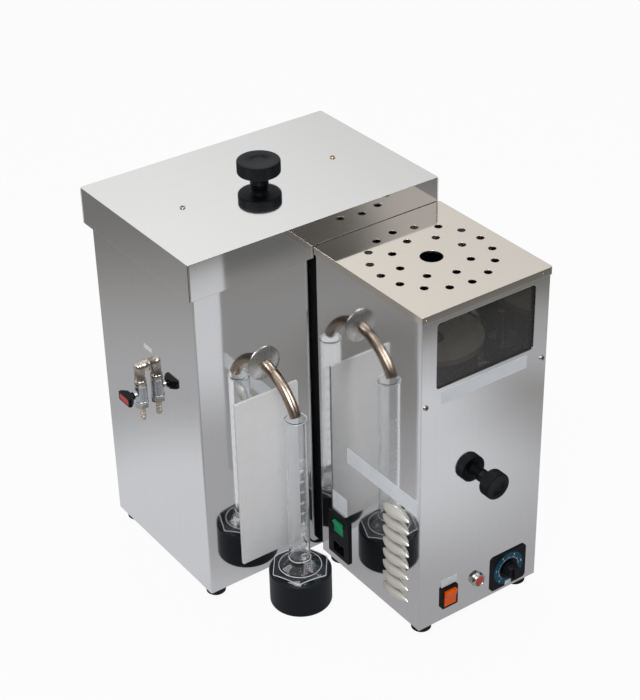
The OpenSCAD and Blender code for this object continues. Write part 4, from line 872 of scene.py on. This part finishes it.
def makeFloor():
    mat, tree, shader = startMaterial("paleFloor")
    tree.nodes.remove(shader)
    link = tree.links.new
    place = tree.nodes.new("ShaderNodeTexCoord").outputs["Object"]

    def falloff(at, reach, inner, outer):
        away = addNode(tree, "ShaderNodeVectorMath", operation="DISTANCE")
        link(place, away.inputs[0])
        away.inputs[1].default_value = at + (0.0,)
        return spanNode(tree, away.outputs["Value"], reach, inner, outer, True)

    # painted light: the glowing tone, brightest near the object, plus the pools of painted light and painted
    # shade
    tone = falloff((0.0, 0.0), floorSet["edge"], floorSet["middle"], floorSet["far"])
    for paintedPool in floorSet["paintedPools"]:
        tone = mathNode(tree, "ADD", tone, falloff(paintedPool["at"], paintedPool["reach"], paintedPool["add"], 0.0))
    split = splitNode(tree, place)
    # painted shade: the glowing tone darkens towards the front
    ahead = mathNode(tree, "ADD", split["Y"], timesNode(tree, split["X"], floorSet["frontSlant"]))
    front = spanNode(tree, ahead, floorSet["frontEdge"], floorSet["frontTone"], 1.0, True)
    tone = timesNode(tree, tone, front)
    seen, path = seenNode(tree)
    # the floor glows with the painted tone for mirror rays, and plain white for the camera and through glass
    glow = addNode(tree, "ShaderNodeEmission", Strength=1.0)
    colour = rampNode(tree, tone, floorSet["tones"])
    link(blendNode(tree, seen, colour, (1, 1, 1)), glow.inputs["Color"])
    matt = addNode(tree, "ShaderNodeBsdfDiffuse", Color=floorSet["matt"])
    share = mathNode(tree, "ADD", timesNode(tree, seen, floorSet["show"]),
                     timesNode(tree, path["Is Glossy Ray"], floorSet["mirror"]))
    whole = mixShaders(tree, share, matt, glow)
    link(whole.outputs[0], tree.nodes["Material Output"].inputs["Surface"])
    half = floorSet["half"]
    mesh = bpy.data.meshes.new("floor")
    mesh.from_pydata([(-half, -half, 0), (half, -half, 0), (half, half, 0), (-half, half, 0)], [],
                     [(0, 1, 2, 3)])
    mesh.materials.append(mat)
    floor = bpy.data.objects.new("floor", mesh)
    bpy.context.scene.collection.objects.link(floor)


# Surroundings by direction: a bright wall behind the object, darker low down and to the right, a dim room
# in front of it with a lit patch, a pale ceiling; spans are in the direction's X, Y or Z
roomSet = {"dim": 0.13, "bright": 0.98, "wallY": (-0.35, 0.45), "lowTone": 0.72, "lowZ": (0.30, 0.52),
           "rightTone": 0.80, "rightX": (0.42, 0.62), "patch": 0.50, "patchStartX": (0.514, 0.540),
           "patchEndX": (0.60, 0.68), "patchY": (-0.60, -0.45), "patchZ": (0.38, 0.43),
           "ceiling": 0.75, "ceilingZ": (0.55, 0.85), "strength": 1.0}


def makeWorld():
    world = bpy.data.worlds.new("room")
    bpy.context.scene.world = world
    world.use_nodes = True
    tree = world.node_tree
    link = tree.links.new
    sky = tree.nodes["Background"]
    split = splitNode(tree, tree.nodes.new("ShaderNodeTexCoord").outputs["Generated"])

    def span(key, low, high):
        # the last letter of a span's name is its axis
        return spanNode(tree, split[key[-1]], roomSet[key], low, high, True)

    wall = span("wallY", roomSet["dim"], roomSet["bright"])
    side = timesNode(tree, timesNode(tree, wall, span("rightX", 1.0, roomSet["rightTone"])),
                     span("lowZ", roomSet["lowTone"], 1.0))
    # the lid's skirt shows the lit patch by way of the tower's cover
    patch = timesNode(tree, span("patchStartX", 0.0, roomSet["patch"]), span("patchEndX", 1.0, 0.0))
    patch = timesNode(tree, timesNode(tree, patch, span("patchY", 1.0, 0.0)), span("patchZ", 0.0, 1.0))
    mixed = addNode(tree, "ShaderNodeMix", data_type="FLOAT")
    link(span("ceilingZ", 0.0, 1.0), mixed.inputs[0])
    link(mathNode(tree, "ADD", side, patch), mixed.inputs[2])
    mixed.inputs[3].default_value = roomSet["ceiling"]
    link(mixed.outputs[0], sky.inputs["Color"])
    setInputs(sky, Strength=roomSet["strength"])
    white = addNode(tree, "ShaderNodeBackground", Color=(1, 1, 1, 1), Strength=1.0)
    whole = mixShaders(tree, seenNode(tree)[0], sky, white)
    link(whole.outputs[0], tree.nodes["World Output"].inputs["Surface"])


lampAim = (0.0, 0.0, 0.3)
lampSet = {"keyPanel": {"at": (-1.3, -1.5, 2.1), "size": 1.3, "power": 34.0},
           "topPanel": {"at": (0.5, 0.4, 2.4), "size": 1.6, "power": 14.0}}


def makeLamps():
    for name, lampPlan in lampSet.items():
        lamp = bpy.data.lights.new(name, "AREA")
        lamp.shape = "SQUARE"
        lamp.size, lamp.energy = lampPlan["size"], lampPlan["power"]
        holder = bpy.data.objects.new(name, lamp)
        holder.location = lampPlan["at"]
        aim = Vector(lampAim) - Vector(lampPlan["at"])
        holder.rotation_euler = aim.to_track_quat("-Z", "Y").to_euler()
        bpy.context.scene.collection.objects.link(holder)


# Camera in the drawing's frame: turn, height and roll in degrees, place in millimetres, focal length and
# the picture's longer side in pixels, sensor in millimetres, farthest sight in metres
cameraSet = {"az": -34.88, "el": 32.15, "roll": -1.37, "place": (-1168.21, -1455.72, 1627.58),
             "focal": 1788.0, "longSide": 700.0, "sensor": 36.0, "far": 50.0}


def makeCamera():
    az, el, roll = (math.radians(cameraSet[k]) for k in ("az", "el", "roll"))
    back = np.array([math.sin(az) * math.cos(el), -math.cos(az) * math.cos(el), math.sin(el)])
    right = np.cross([0, 0, 1.0], back)
    right /= np.linalg.norm(right)
    up = np.cross(back, right)
    lens = bpy.data.cameras.new("photoCamera")
    lens.sensor_width = cameraSet["sensor"]
    lens.lens = cameraSet["focal"] / cameraSet["longSide"] * cameraSet["sensor"]
    lens.clip_end = cameraSet["far"]
    camera = bpy.data.objects.new("photoCamera", lens)
    pose = np.eye(4)
    pose[:3, 0] = math.cos(roll) * right + math.sin(roll) * up
    pose[:3, 1] = -math.sin(roll) * right + math.cos(roll) * up
    pose[:3, 2] = back
    pose[:3, 3] = toRow(cameraSet["place"])
    camera.matrix_world = Matrix(pose.tolist())
    bpy.context.scene.collection.objects.link(camera)
    bpy.context.scene.camera = camera


makeFloor()
makeWorld()
makeLamps()
makeCamera()
bpy.context.scene.view_settings.view_transform = "Standard"
print("floor, room, lamps and camera set")
